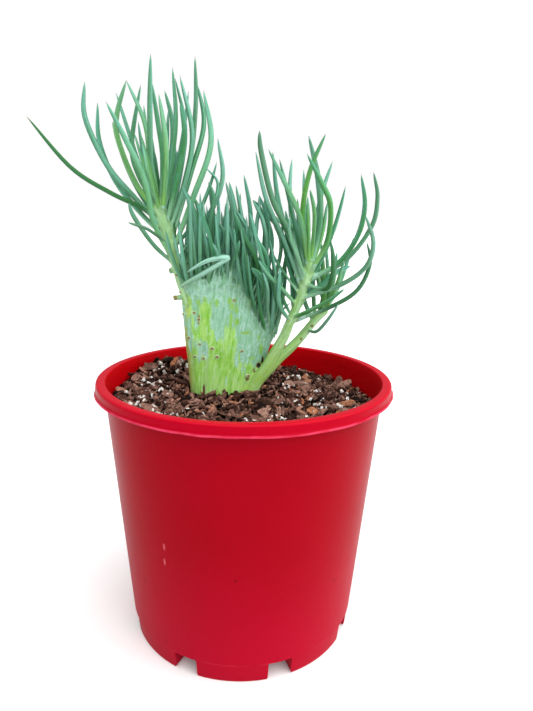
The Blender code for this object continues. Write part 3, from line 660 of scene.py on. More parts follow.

# %% [markdown]
# ## Potting mix
# The mix is composted bark with a little perlite. What fills the pot is one plain bed, with
# the same rolling top as in the imported model. It is only the ground that the loose pieces
# lie on, and it is coloured near black as painted shade for the gaps between them. Each point
# of its top also says how thickly bark and perlite may lie there.

# %% The bed
MIX_LEVEL = 114.2
BANK_PLACE = (-44.0, 38.0)
BANK_HEIGHT = 6.0
BANK_SPREAD = 22.0
FALL_TO_RIGHT = 0.03
BED_SINK = 1.2
BED_GAP = 0.3
BED_RINGS = 46
BED_SEGMENTS = 132
BARK_OFF_TRUNK = 3.6
LARGE_OFF_TRUNK = 6
LARGE_OFF_WALL = 4.5
SEED = 7
FAN_BASE = ((-26.6, 4.5, 115), (-18, 3.8, 115), (-9, 5, 115), (-1, 7.5, 115), (6, 9.5, 115))
PERLITE_PATCHES = ((-38, -30, 20), (-8, -47, 18), (36, -34, 16), (46, -2, 15),
                   (28, 26, 12), (-50, 2, 12), (-30, 30, 16))


def mix_height(x, y):
    """The mix is uneven, and banked a little to the back left."""
    away = math.hypot(x - BANK_PLACE[0], y - BANK_PLACE[1]) / BANK_SPREAD
    bank = BANK_HEIGHT * math.exp(-away * away) - FALL_TO_RIGHT * x
    bumps = 0.5 * math.sin(0.61 * x + 1.3) * math.cos(0.53 * y) + 0.4 * math.sin(0.9 * y - 0.7 * x)
    return MIX_LEVEL + bank + bumps


def trunk_distance(x, y):
    """How far a point of the bed is from the middle line of the trunk's foot."""
    spot = Vector((x, y))
    best = 1e9
    for a, b in zip(FAN_BASE, FAN_BASE[1:]):
        a, b = Vector(a[:2]), Vector(b[:2])
        t = min(max((spot - a).dot(b - a) / (b - a).length_squared, 0), 1)
        best = min(best, (spot - a.lerp(b, t)).length)
    return best


def perlite_share(x, y):
    """Perlite washes together: thick in patches, thin elsewhere."""
    share = 0.06
    for px, py, spread in PERLITE_PATCHES:
        share += math.exp(-((x - px) ** 2 + (y - py) ** 2) / spread ** 2)
    return min(share * (0.35 + noise.noise(Vector((x, y, 3)) * 0.22) ** 2 * 5), 1)


def make_bed_mesh():
    bm = bmesh.new()
    floats = bm.verts.layers.float
    bark, clear, perlite = (floats.new(f"{what}_share") for what in ("bark", "clear", "perlite"))
    rings = [[bm.verts.new((0, 0, mix_height(0, 0) - BED_SINK))]]
    edge = inner_radius(MIX_LEVEL) - BED_GAP
    for k in range(1, BED_RINGS + 1):
        ring = []
        for i in range(BED_SEGMENTS):
            a = math.tau * i / BED_SEGMENTS
            x, y = edge * k / BED_RINGS * math.cos(a), edge * k / BED_RINGS * math.sin(a)
            grit = 0.5 * noise.noise(Vector((x, y, 0)) * 0.5)
            z = mix_height(x, y) + grit - BED_SINK
            wider = (inner_radius(z) - BED_GAP) / edge if k == BED_RINGS else 1.0
            vert = bm.verts.new((x * wider, y * wider, z))
            vert[bark] = float(trunk_distance(x, y) > BARK_OFF_TRUNK and k < BED_RINGS - 1)
            vert[perlite] = vert[bark] * perlite_share(x, y)
            off_wall = edge * k / BED_RINGS < edge - LARGE_OFF_WALL
            vert[clear] = float(trunk_distance(x, y) > LARGE_OFF_TRUNK and off_wall)
            ring.append(vert)
        rings.append(ring)
    floor_z = FLOOR_TOP + BED_GAP
    scale = (inner_radius(floor_z) - BED_GAP) / edge
    rings.append([bm.verts.new((v.co.x * scale, v.co.y * scale, floor_z)) for v in rings[-1]])
    rings.append([bm.verts.new((0, 0, floor_z))])
    join_rings(bm, rings)
    return mesh_of(outward(bm), "bed")


print(f"the mix is {mix_height(0, 0):.1f} mm up in the middle")

# %% [markdown]
# Bark chips are flat flakes with broken edges, and perlite is puffed glass like tiny
# popcorn. A few shapes of each are enough, because every copy is turned and scaled.

# %% Flakes, crumbs and grains
def bark_flake(draw, breadth=None):
    """A flake about 1 long: an uneven outline with a smaller, stepped top face."""
    bm = bmesh.new()
    corners = draw.choice((6, 7, 8, 9))
    slim = breadth or draw.uniform(0.16, 0.7)
    thick = draw.uniform(0.08, 0.18)
    outline = []
    for i in range(corners):
        a = math.tau * (i + draw.uniform(-0.2, 0.2)) / corners
        reach = draw.uniform(0.45, 0.55)
        outline.append(Vector((reach * math.cos(a), slim * reach * math.sin(a), 0)))
    bend = draw.uniform(-0.3, 0.3)
    rings = []
    for height, shrink in ((-0.5, 0.9), (0.1, 1.0), (0.4, 0.94), (0.55, 0.6)):
        ring = []
        for p in outline:
            jag = 1 + draw.uniform(-0.04, 0.04)
            z = height * thick + bend * p.x * p.x + draw.uniform(-0.02, 0.02)
            ring.append(bm.verts.new((p.x * shrink * jag, p.y * shrink * jag, z)))
        rings.append(ring)
    join_rings(bm, rings)
    bm.faces.new(rings[-1])
    bm.faces.new(list(reversed(rings[0])))
    bmesh.ops.triangulate(bm, faces=[f for f in bm.faces if len(f.verts) > 4])
    return bm


def perlite_grain(draw):
    """A white, broken grain about 1 across."""
    bm = bmesh.new()
    bmesh.ops.create_icosphere(bm, subdivisions=2, radius=0.5)
    shift = Vector((draw.random(), draw.random(), draw.random())) * 50
    squat = Vector((1, draw.uniform(0.5, 0.95), draw.uniform(0.4, 0.7)))
    for v in bm.verts:
        v.co = v.co * squat * (1 + 1.3 * noise.noise(v.co * 3.2 + shift))
    return bm


def crumb(draw):
    """A bit of broken bark about 1 across, with few faces because there are thousands."""
    bm = bmesh.new()
    bmesh.ops.create_icosphere(bm, subdivisions=1, radius=0.5)
    squat = Vector((1, draw.uniform(0.25, 0.75), draw.uniform(0.14, 0.45)))
    for v in bm.verts:
        v.co = v.co * squat * draw.uniform(0.65, 1.3)
    return bm


def shapes(name, maker, count, seed):
    """A collection of a few shapes for the scatter tree to pick from."""
    draw = random.Random(seed)
    collection = bpy.data.collections.new(name)
    scene.collection.children.link(collection)
    for i in range(count):
        collection.objects.link(bpy.data.objects.new(f"{name}_{i}", mesh_of(maker(draw), name)))
    print(f"{count} shapes of {name}")
    return collection


flakes = shapes("flake", bark_flake, 14, SEED)
crumbs = shapes("crumb", crumb, 10, SEED + 1)
grains = shapes("grain", perlite_grain, 8, SEED + 2)

# %% [markdown]
# A tree scatters points on the bed where a share attribute lets them lie, keeps them apart,
# and puts a random shape on each, turned, tilted and scaled at random. Every copy also
# carries a random shade for its finish.

# %% The scatter tree
def scattered(bed, choices, material, share, **inputs):
    """Copies of the choices all over the bed, where its share attribute lets them lie."""
    sprout = Sprout("scatter", inputs)
    seed, lean = sprout.given("Seed"), sprout.given("Tilt")
    sockets = {"Mesh": sprout.given("Geometry"), "Distance Min": sprout.given("Apart"),
               "Density Max": sprout.given("Density"), "Density Factor": sprout.named(share), "Seed": seed}
    points = sprout.add("GeometryNodeDistributePointsOnFaces", {"distribute_method": "POISSON"}, sockets)
    sockets = {"Geometry": points, "Offset": sprout.vector(Z=sprout.given("Lift"))}
    points = sprout.add("GeometryNodeSetPosition", None, sockets)
    shade = sprout.add("FunctionNodeRandomValue", None, {"Seed": seed + 1}, out=1)
    points = sprout.keep(points, "shade", shade)
    sockets = {"Min": sprout.vector(X=0 - lean, Y=0 - lean), "Max": sprout.vector(X=lean, Y=lean, Z=math.tau),
               "Seed": seed + 2}
    turn = sprout.add("FunctionNodeRandomValue", {"data_type": "FLOAT_VECTOR"}, sockets)
    sockets = {2: sprout.given("Smallest"), 3: sprout.given("Largest"), "Seed": seed + 3}
    size = sprout.add("FunctionNodeRandomValue", None, sockets, out=1)
    sockets = {"Collection": choices, "Separate Children": True}
    pieces = sprout.add("GeometryNodeCollectionInfo", None, sockets)
    return sprout.run(bed, material, sprout.copies(points, pieces, turn, size, pick=True))


# %% [markdown]
# Bark is brown going on purple, with orange-brown where a layer has split off. Each copy
# carries its own random shade from the tree, and a fine stretched noise gives the grain. The
# bed and the smallest crumbs get a near-black bark finish, a painted shade for the gaps between
# the chips. Perlite is nearly white, with a little brown dust.

# %% Bark and perlite
def bark_finish(name, dark, dull, middle, light, rust):
    finish = Finish(name, Specular_IOR_Level=0.06)
    place = finish.place()
    shade, = finish.attributes("shade")
    grain = finish.noise(place, 0.0009, detail=4, roughness=0.65, stretch=(1, 0.4, 1))
    patch = finish.noise(place, 0.0025)
    colour = finish.coat(
        finish.ramp(shade, (0.0, dark), (0.28, dull), (0.62, middle), (0.9, light), (1.0, rust)),
        (finish.fade(grain, 0.42, 0.66) * 0.7, dark),
        (finish.fade(patch, 0.54, 0.7) * 0.5, light))
    finish.set("Base Color", colour)
    finish.set("Roughness", 0.62 + grain * 0.3)
    finish.set("Normal", finish.bump(grain, 0.0005))
    return finish.material


def perlite_finish():
    finish = Finish("perlite", Roughness=0.85)
    place = finish.place()
    dust = finish.fade(finish.noise(place, 0.0022, detail=3), 0.52, 0.72)
    finish.set("Base Color", finish.mix(dust * 0.8, (224, 220, 214), (150, 128, 112)))
    finish.set("Normal", finish.bump(finish.noise(place, 0.0005, detail=3), 0.0003))
    return finish.material


# Near-black painted shade for the bed and the crumbs in the gaps between the chips.
damp_mix = bark_finish("damp_mix", (4, 2, 1), (8, 4, 3), (20, 11, 8), (40, 25, 20), (56, 32, 22))
bark = bark_finish("bark", (14, 7, 5), (64, 40, 32), (110, 78, 67), (160, 122, 107), (172, 110, 76))
perlite = perlite_finish()
print("finishes so far:", ", ".join(material.name for material in bpy.data.materials))

# %% [markdown]
# The largest chips and those that lean on the trunk are where the photo shows them. Each has
# its pixel, how far it lifts, its length and width, how it is turned and tilted, and a shade.

# %% Placed chips
PLACED_CHIPS = (((204, 399), 4.0, 8.0, 1.3, 1.55, 1.5, 0.5), ((252, 394), 1.6, 8.5, 3.0, 0.1, 0.3, 0.4),
                ((224, 399), 2.2, 5.5, 2.4, 1.5, 1.0, 0.5), ((194, 404), 1.0, 6.5, 5.0, 0.6, 0.3, 0.8),
                ((168, 396), 1.0, 8.0, 5.0, 2.3, 0.25, 0.72), ((266, 414), 1.0, 8.5, 6.5, 0.4, 0.3, 0.88),
                ((312.5, 413), 1.2, 5.5, 5.0, 1.2, 0.3, 1.0), ((288, 386), 1.2, 6.5, 5.0, 0.3, 0.5, 0.85),
                ((304, 394), 1.8, 9.0, 2.2, 1.9, 0.5, 0.7), ((176, 364), 1.5, 6.0, 4.0, 0.2, 0.5, 0.9),
                ((150, 369), 1.4, 9.0, 5.5, 0.3, 0.5, 0.6), ((136, 380), 1.2, 5.5, 4.5, 1.0, 0.5, 0.75),
                ((145, 392), 1.0, 6.0, 4.5, 0.2, 0.2, 0.8), ((213, 401), 1.2, 6.0, 2.6, 0.3, 0.4, 0.35),
                ((187, 394), 2.0, 3.6, 2.2, 1.4, 1.2, 0.6), ((236, 399), 1.4, 5.0, 3.2, 0.7, 0.5, 0.3))
CHIP_DEPTH = 3.6
MIX_STEP = 0.25


def spot_on_mix(pixel):
    """Where the photo's camera sees the top of the mix."""
    step = sight_line(pixel)
    point = EYE_PLACE.copy()
    while point.z > mix_height(point.x, point.y):
        point += step * MIX_STEP
    return point


def placed_chips():
    draw = random.Random(SEED + 3)
    bm = bmesh.new()
    shade_layer = bm.verts.layers.float.new("shade")
    for pixel, lift, long, wide, turn, tilt, shade in PLACED_CHIPS:
        chip = mesh_of(bark_flake(draw, 1.0), "chip")
        size = Matrix.Diagonal((long, wide, CHIP_DEPTH, 1))
        spot = Matrix.Translation(spot_on_mix(pixel) + Vector((0, 0, lift)))
        chip.transform(spot @ Matrix.Rotation(tilt, 4, "X") @ Matrix.Rotation(turn, 4, "Z") @ size)
        before = len(bm.verts)
        bm.from_mesh(chip)
        bm.verts.ensure_lookup_table()
        for vert in bm.verts[before:]:
            vert[shade_layer] = shade
    mesh = mesh_of(bm, "placed_chips")
    mesh.materials.append(bark)
    return mesh


# %% [markdown]
# Five runs of the same tree give the layers, from the bottom up: near-black crumbs that paint
# the shade between the chips, bark grit, small chips, large chips and perlite. Then come the
# placed chips, and the shapes that were only there to be copied are removed.

# %% The whole mix
# Shapes, finish, share, distance apart, density, sizes, tilt, lift and seed
LAYERS = {
    "bark_crumbs": (crumbs, damp_mix, "bark_share", 0.9, 1.0, (1.0, 2.4), 1.2, 0.2, 11),
    "bark_grit": (crumbs, bark, "bark_share", 1.3, 0.17, (1.2, 4.6), 1.4, 1.0, 15),
    "small_bark_chips": (flakes, bark, "bark_share", 2.0, 0.15, (3.0, 7.4), 1.1, 1.1, 12),
    "large_bark_chips": (flakes, bark, "clear_share", 4.6, 0.03, (6.0, 11.0), 0.6, 1.9, 13),
    "perlite_grains": (grains, perlite, "perlite_share", 1.0, 0.06, (0.6, 2.7), 3.0, 2.0, 14)}


def make_mix():
    bed = make_bed_mesh()
    made = {"mix_bed": bed}
    for name, (choices, material, share, apart, density, (small, large), tilt, lift, seed) in LAYERS.items():
        made[name] = scattered(bed, choices, material, share, Apart=apart, Density=density, Smallest=small,
                               Largest=large, Tilt=tilt, Lift=lift, Seed=seed)
    for collection in (flakes, crumbs, grains):
        for thing in list(collection.objects):
            bpy.data.objects.remove(thing)
        bpy.data.collections.remove(collection)
    bed.materials.append(damp_mix)
    bed.shade_smooth()
    made["placed_bark_chips"] = placed_chips()
    for name, mesh in made.items():
        settle(name, mesh, ["potting_mix"])


make_mix()

# %% [markdown]
# ## The plan of the plant
# One flat, crested trunk carries a comb of leaves along its top. An ordinary leader grows at
# its left end and a forked side stem at its right end. Stems are given as lines of (x, z) in
# the upright plane through the pot's axis, as the camera sees them, with depths to carry
# them to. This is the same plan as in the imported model, so every leaf falls where it does there.

# %% Trunk and stems
EYE = Vector((0.0, -259.0, 198.0))
FAN_THICKNESS = 8.5
CREST_THINNING = 0.34
ROOT_TAPER = 12.0
ROOT_DEPTH = -0.34
STEM_COLLAR = 0.8
CLEARANCE = 0.3
FINE_STEPS = 26
STEM_STEPS = 40
FAN_STEPS = 60
FRINGE_STEPS = 9
ROOM = 0.9

FAN_CREST = ((-30.5, 3, 168), (-20, 3.5, 170.5), (-10, 4, 172.5), (-4, 5, 170.5),
             (1, 6, 163.5), (5, 8, 155), (9, 10, 147), (14, 12, 143))
LEADER = dict(line=((-20, 147), (-26, 157), (-30, 167), (-31.7, 174), (-33.5, 180.5), (-36, 190.5),
                    (-38.5, 200), (-39.5, 203.5)), depth=(4, 1), radius=(1.0, 2.3), start=171)
TALL = dict(line=((-2, 107), (2.5, 116), (6, 122.5), (9.5, 127.5), (13.5, 135), (18, 143.5), (20.5, 150),
                  (23.5, 157.5), (25.5, 163.5), (27.5, 169), (29.5, 177)),
            depth=(7, 0), radius=(4.0, 1.8), start=140)
LOW = dict(line=((7, 123), (12, 128.5), (15.5, 132.5), (21.5, 138.5), (26, 143.5),
                 (29.5, 148), (33, 152.5), (37.5, 157)),
           depth=(6, 8), radius=(2.5, 1.7), start=138)
STEMS = {"leader_stem": LEADER, "tall_side_stem": TALL, "low_side_stem": LOW}
print(f"crest from x = {FAN_CREST[0][0]:.0f} to {FAN_CREST[-1][0]:.0f} mm")

# %% [markdown]
# The leaves that give the outline were traced one by one. Each entry has the height of the
# root on its stem, the depth of the tip, the radius of the leaf, and then the points from
# root to tip. The comb's entries start with how far along the crest the root is.

# %% Traced leaves
LEADER_LEAVES = (
    (193, -8, 1.35, (-46, 201), (-60, 207.5), (-77, 218), (-94.5, 238.5)),
    (192, -2, 1.65, (-50, 206), (-61, 219), (-69.5, 238), (-69, 252.5)),
    (187, 14, 1.5, (-48, 200), (-58, 213), (-64, 229), (-64, 244.5)),
    (178, -22, 1.6, (-41.5, 195), (-45, 213), (-52.5, 229.5), (-60.5, 245)),
    (176, -8, 1.35, (-42, 185.5), (-50, 197), (-52.5, 203.5)),
    (186, -14, 0.9, (-44, 192), (-53, 195)),
    (196, -14, 1.5, (-49, 212), (-56, 230), (-56, 240), (-51.5, 253.5)),
    (199, 10, 1.3, (-42, 221), (-44.5, 237.5), (-51.5, 253.5)),
    (198, 22, 1.2, (-46, 216.5), (-51, 232), (-56, 248.5)),
    (198, 18, 1.4, (-48, 216), (-50, 229), (-45.5, 252)),
    (200, 24, 1.1, (-42.5, 221.5), (-44.5, 244)),
    (200, -12, 1.1, (-42, 215.5), (-46.5, 233)),
    (199, -18, 1.0, (-43, 213.5), (-45.5, 228.5)),
    (199, -6, 1.1, (-43, 211.5), (-49, 233)),
    (199, -12, 1.5, (-42, 214), (-42, 240), (-41, 264)),
    (200, 6, 1.4, (-37, 222), (-38.5, 236), (-41, 253.5)),
    (198, -20, 1.4, (-36, 215), (-35.5, 230), (-38, 248.5)),
    (198, 14, 1.4, (-33.5, 222), (-32.5, 237), (-35.5, 250)),
    (196, 6, 1.4, (-34, 216), (-31, 238), (-32, 259)),
    (189, 4, 1.6, (-27.5, 213), (-24, 233), (-29, 256)),
    (189, 12, 1.2, (-29, 218), (-27, 236), (-31, 255)),
    (192, -14, 1.3, (-31, 214), (-27.5, 232), (-29, 245.5)),
    (188, 22, 1.4, (-26, 217), (-22.5, 243), (-22.5, 263.5)),
    (186, 12, 1.5, (-25, 216), (-19, 236.5), (-21.5, 252.5)),
    (182, -10, 1.6, (-24, 206), (-16, 229), (-19, 250.5)),
    (176, 16, 1.5, (-18.5, 196), (-11, 214), (-13, 231.5)),
    (178, 6, 0.9, (-18, 198), (-13, 212), (-18, 219)),
)
TALL_LEAVES = (
    (169, -16, 1.65, (20, 190.5), (11.5, 206), (6, 226), (5, 235)),
    (166, 8, 1.5, (17, 188.5), (8.5, 206.5), (3.5, 226.5)),
    (174, -10, 1.5, (24.5, 197), (18.5, 210), (9, 227.5)),
    (167, 20, 1.5, (18.5, 191), (13.5, 208), (11, 226.5)),
    (172, 6, 1.4, (23, 191), (19, 206), (14, 223.5)),
    (170, 22, 1.3, (21, 193), (19, 210), (19.5, 223.5)),
    (174, 10, 1.8, (33, 196), (31.5, 215), (26.5, 233.5)),
    (175, -8, 1.6, (25, 198), (27.5, 218), (34, 234.5)),
    (173, -18, 1.6, (36.5, 188), (37.5, 204), (33, 214), (26, 226)),
    (175, 14, 1.4, (31, 193), (33, 208), (37.5, 223)),
    (176, 4, 1.2, (30.5, 199), (28, 211)),
    (175, -10, 1.0, (28, 195.5), (27, 208)),
    (170, -12, 1.6, (42, 178.5), (50.5, 191), (53, 204.5), (50.5, 218)),
    (171, 4, 1.5, (45, 179.5), (56.5, 195), (58.5, 208), (56, 219)),
    (162, -20, 1.5, (43.5, 168.5), (55, 177), (58, 188), (53.5, 200.5)),
    (150, -10, 1.4, (38, 157.5), (51.5, 166), (57, 178.5), (55, 188.5)),
    (168, -24, 1.35, (36.5, 166.5), (39.5, 171), (40, 180), (38, 189.5)),
    (160, 10, 1.9, (34.5, 168), (41, 174), (48, 177.5)),
    (152, -12, 1.4, (28, 155.5), (38, 161), (46, 167)),
    (175, 8, 1.2, (34, 190), (36, 205.5)),
    (158, -8, 1.3, (17, 166), (10, 173), (5.5, 179.5)),
    (150, -6, 1.3, (15.5, 160), (15.5, 176.5)),
)
LOW_LEAVES = (
    (146, -6, 1.1, (33.5, 146.5), (38.5, 152), (43.5, 160)),
    (155, 12, 1.4, (36, 170), (34, 188)),
    (156, 16, 1.4, (40, 172), (39, 187)),
    (156, 4, 1.3, (42, 168), (45, 180)),
    (157, 20, 1.3, (33, 172), (29, 186)),
)
CREST_LEAVES = (
    (0.02, -8, 1.1, (-18.5, 173.5), (-9, 180), (-18, 180.8), (-28, 172.5)),
    (0.10, 2, 1.4, (-22.5, 183.5), (-23.5, 199), (-29, 211.5)),
    (0.20, 8, 1.5, (-21, 183.5), (-22.5, 197), (-26, 208)),
    (0.24, 4, 1.3, (-18.5, 184), (-19.5, 205.5)),
    (0.30, 12, 1.4, (-14.5, 184), (-15, 199), (-17, 213)),
    (0.34, -3, 1.3, (-12, 181), (-9.5, 189.5), (-14, 197.5)),
    (0.38, 6, 1.3, (-10, 184), (-9.5, 199.5)),
    (0.42, 14, 1.4, (-6.5, 188), (-6.5, 201), (-9.5, 213.5)),
    (0.46, 3, 1.5, (-3.5, 186), (-5, 200), (-8, 213.5)),
    (0.49, 8, 1.3, (-1.5, 186), (-2.5, 199), (-5, 212)),
    (0.52, 12, 1.4, (1.5, 186), (1.5, 201), (-1.5, 216.5)),
    (0.74, -4, 1.3, (7.5, 168), (2, 176)),
    (0.68, -8, 1.4, (5.5, 176), (-1.5, 190.5), (-6, 200.5)),
    (0.60, 2, 1.3, (4.5, 178.5), (0.5, 192), (-4.5, 201)),
    (0.82, -6, 1.3, (10, 177), (4, 190), (1.5, 200)),
    (0.66, 6, 1.5, (9, 182), (7.5, 196), (2.5, 206)),
    (0.72, 10, 1.3, (11.5, 184), (9.5, 197), (5.5, 208)),
    (0.80, 14, 1.3, (15.5, 182), (13, 195), (7.5, 205)),
    (0.92, 12, 1.4, (18, 179), (18.5, 191), (17.5, 201.5)),
    (0.88, 0, 1.1, (13, 160), (13.5, 172), (10.5, 189)),
)

# %% [markdown]
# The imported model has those. Here the camera's view has more of them, thinner or half hidden,
# which are added in the same way once the others are in place.

# %% More traced leaves
MORE_LEAVES = {
    "leader_stem": (),
    "tall_side_stem": (
        (170, -24, 0.8, (22, 184), (19.5, 191.5), (19.3, 199)),
        (163, 12, 0.9, (14.5, 178), (10.7, 186), (10.4, 197.5)),
        (168, 24, 1.1, (17, 190), (9, 200), (5.4, 208)),
        (170, 26, 1.1, (19, 192), (11, 200), (7.6, 206.5)),
        (172, 24, 1.1, (24, 190), (19, 196), (17.2, 201.5)),
        (152, -6, 1.1, (17, 163), (15.4, 176)),
    ),
    "low_side_stem": (
        (156, 8, 1.2, (38, 170), (36, 189)),
        (157, 0, 1.2, (40.5, 170), (41.5, 184)),
        (156, 14, 1.2, (36, 168), (32, 181)),
    ),
}
COMB_LEAVES = (
    (1, 1.5, (189, 278), (187.5, 262), (187, 246), (189, 225), (190, 208), (187.5, 197), (181.3, 185)),
    (1, 1.5, (197, 278), (197, 258), (198, 242), (200.4, 223), (198.3, 208), (192.5, 195)),
    (-1, 1.15, (214, 275), (213.3, 254), (208.3, 233), (202.5, 217), (196.7, 203)),
    (-1, 1.0, (209, 277), (208.3, 258), (206.7, 244), (203, 232)),
    (1, 1.3, (212, 276), (210.8, 250), (210, 225), (213.3, 202), (212.5, 192), (208.3, 182)),
    (-1, 0.9, (204, 279), (200, 264), (194, 250), (190, 240)),
    (-8, 1.2, (243, 283), (242.5, 267), (244, 250), (241.7, 233), (238.3, 221), (233.3, 212)),
    (-9, 1.15, (257, 311), (256, 282), (255.5, 262), (253.3, 246), (248.3, 232), (244.2, 221), (237.5, 208)),
    (-11, 1.25, (263, 322), (262, 290), (260, 271), (255, 256), (248.3, 242), (242, 231)),
    (-10, 1.25, (268, 328), (267, 296), (265.5, 275), (261.7, 258), (257.5, 242), (253.3, 225), (249.6, 212)),
    (-4, 1.4, (264, 324), (265, 280), (264.2, 250), (265, 233), (264.2, 219), (259.2, 207), (252.9, 200)),
    (2, 1.1, (254, 305), (255, 260), (256.7, 225), (259.2, 208), (259.2, 196)),
    (0, 1.2, (268, 326), (267.5, 290), (266.7, 250), (266.7, 233), (266.7, 213), (263.8, 200)),
    (-13, 1.15, (276, 334), (280, 306), (276.7, 282), (270, 270), (263.3, 257), (257.5, 244)),
    (-6, 1.1, (273, 330), (275, 290), (273.3, 262), (271.7, 250), (267.5, 241)),
    (-9, 1.15, (274, 333), (278, 312), (277.5, 295), (276.7, 282), (280, 271)),
    (-9, 0.9, (271, 332), (268, 310), (268, 297), (267.5, 287), (263, 272)),
    (-6, 1.0, (231, 276), (233, 262), (237.5, 250), (239.5, 240)),
    (-1, 0.9, (219, 275), (219.5, 264), (217, 252), (212.5, 243)),
)
MORE_CREST = (
    (0.70, -16, 1.1, (9, 163), (9, 170), (6, 173.5), (2.5, 176)),
    (0.92, -14, 1.1, (14.3, 157), (13.6, 164), (10, 174), (6.9, 179)),
)

# %% [markdown]
# Between the traced leaves the plant is much denser, so the rest is placed by rule: how many
# leaves, on what span of the stem, how long, and how far they may lean to either side.

# %% Leaves by rule
LEADER_FILL = dict(count=12, span=(180, 202), length=(34, 58), sway=(-1, 1))
TALL_FILL = dict(count=12, span=(150, 176), length=(30, 52), sway=(-1, 0.35))
LOW_FILL = dict(count=8, span=(149, 157), length=(22, 36), sway=(-0.6, 1))
CREST_FILL = dict(count=64, span=(0.06, 1.0), length=(24, 44))
MORE_COMB = dict(count=64, span=(0.03, 1.0), length=(14, 36))
FRONT_ROW = dict(count=46, span=(0.4, 1.0), length=(12, 34))
CROWDING = 0.8
FOLDED_LEAF = ((-29.5, 167, 2), (-26.5, 169, -3), (-18.5, 173.6, -7), (-11.5, 178, -9), (-8.4, 180, -9.5),
               (-11.5, 180.2, -10), (-19, 178.2, -9.5), (-28, 172.8, -8))
FRINGE = dict(count=44, span=(0.12, 0.99), length=(5, 17))
DEPTH_TRIES = 17
DEPTH_STEP = 2.0
GOLDEN_ANGLE = math.radians(137.5)
TRIES_ON_STEM = 14
TRIES_ON_CREST = 16
COMB_SINK = 2.5
COMB_FORWARD = 1.5
CREST_SINK = 3.0
CREST_GIRTH = 3.2
STEM_LEAVES = {"leader_stem": LEADER_LEAVES, "tall_side_stem": TALL_LEAVES, "low_side_stem": LOW_LEAVES}
STEM_FILLS = {"leader_stem": LEADER_FILL, "tall_side_stem": TALL_FILL, "low_side_stem": LOW_FILL}
traced = [CREST_LEAVES, MORE_CREST, COMB_LEAVES, *STEM_LEAVES.values(), *MORE_LEAVES.values()]
print(sum(len(leaves) for leaves in traced), "traced leaves")

# %% [markdown]
# A traced leaf is a smooth curve in the upright plane, slid along its sight lines so that it
# leaves the stem at one depth and ends at another. A leaf placed by rule leaves its stem
# sideways and then turns up to the light. Both have the same slim foot and pointed tip.

# %% Leaf shapes
def smooth_line(points, steps):
    """Steps points on a Catmull-Rom curve through the given ones."""
    knots = [Vector(p) for p in points]
    knots = [2 * knots[0] - knots[1]] + knots + [2 * knots[-1] - knots[-2]]
    spans = len(knots) - 3
    line = []
    for i in range(steps):
        place = i / (steps - 1) * spans
        k = min(int(place), spans - 1)
        t = place - k
        a, b, c, d = knots[k:k + 4]
        line.append(0.5 * (2 * b + (c - a) * t + (2 * a - 5 * b + 4 * c - d) * t * t
                           + (3 * b - 3 * c + d - a) * t ** 3))
    return line


def bent_line(root, middle, tip, steps=FINE_STEPS):
    """A line that sets out towards the middle point and turns to the tip."""
    shares = [i / (steps - 1) for i in range(steps)]
    return [root.lerp(middle, t).lerp(middle.lerp(tip, t), t) for t in shares]


def at_fraction(line, fraction):
    """The point at a fraction of the line's points, between two of them if need be."""
    place = min(max(fraction, 0.0), 1.0) * (len(line) - 1)
    k = min(int(place), len(line) - 2)
    return line[k].lerp(line[k + 1], place - k)


def along_sight(x, z, depth):
    """The point at this depth that EYE sees at (x, z) in the fan's plane."""
    return EYE + (Vector((x, 0, z)) - EYE) * ((depth - EYE.y) / -EYE.y)


def on_plane(pixel):
    """Where the photo's camera sees a pixel in the fan's plane, as (x, z)."""
    step = sight_line(pixel)
    hit = EYE_PLACE - step * (EYE_PLACE.y / step.y)
    return hit.x, hit.z


def seen_in_plane(point):
    """Where EYE sees a point in the fan's plane, as (x, z)."""
    hit = EYE + (point - EYE) * (-EYE.y / (point.y - EYE.y))
    return hit.x, hit.z


def leaf_radii(radius):
    """Slim at the foot, full in the middle, tapering to a point."""
    shares = [i / (FINE_STEPS - 1) for i in range(FINE_STEPS)]
    return [radius * min(1.0, 0.7 + 1.1 * t) * max(1 - t ** 3, 0.0) ** 0.75 for t in shares]


def sight_leaf(root, depth, radius, outline):
    """Centre line and radii of a leaf whose outline is given as seen from EYE."""
    seen = [seen_in_plane(root)] + list(outline)
    line = []
    for i, place in enumerate(smooth_line([(x, z, 0) for x, z in seen], FINE_STEPS)):
        ease = 1 - (1 - i / (FINE_STEPS - 1)) ** 1.6
        line.append(along_sight(place.x, place.y, root.y + (depth - root.y) * ease))
    return line, leaf_radii(radius)


def arched_leaf(root, out, length, lean, radius):
    """A leaf that leaves its stem along out and then turns up."""
    middle = root + out * (0.42 * length * math.sin(lean)) + Vector((0, 0, 0.3 * length))
    tip = root + out * (0.62 * length * math.sin(lean)) + Vector((0, 0, 0.95 * length))
    return bent_line(root, middle, tip), leaf_radii(radius)


print(f"a leaf's foot has {leaf_radii(1.0)[0]:.0%} of its full radius")

# %% [markdown]
# A stem's line is carried to its depths in the same way. The fan is given by two lines, one
# in the mix and one along the crest, with straight fibres between them. It is thickest in
# its middle and thins towards its crest and its two edges.

# %% Stems and the fan
def stem_line(stem):
    near, far = stem["depth"]
    flat = smooth_line([(x, z, 0) for x, z in stem["line"]], STEM_STEPS)
    return [along_sight(p.x, p.y, near + (far - near) * i / (STEM_STEPS - 1)) for i, p in enumerate(flat)]


def stem_radii(stem):
    low, high = stem["radius"]
    return [high + (low - high) * (1 - i / (STEM_STEPS - 1)) ** 1.7 for i in range(STEM_STEPS)]


STEM_TUBES = {name: (stem_line(stem), stem_radii(stem)) for name, stem in STEMS.items()}


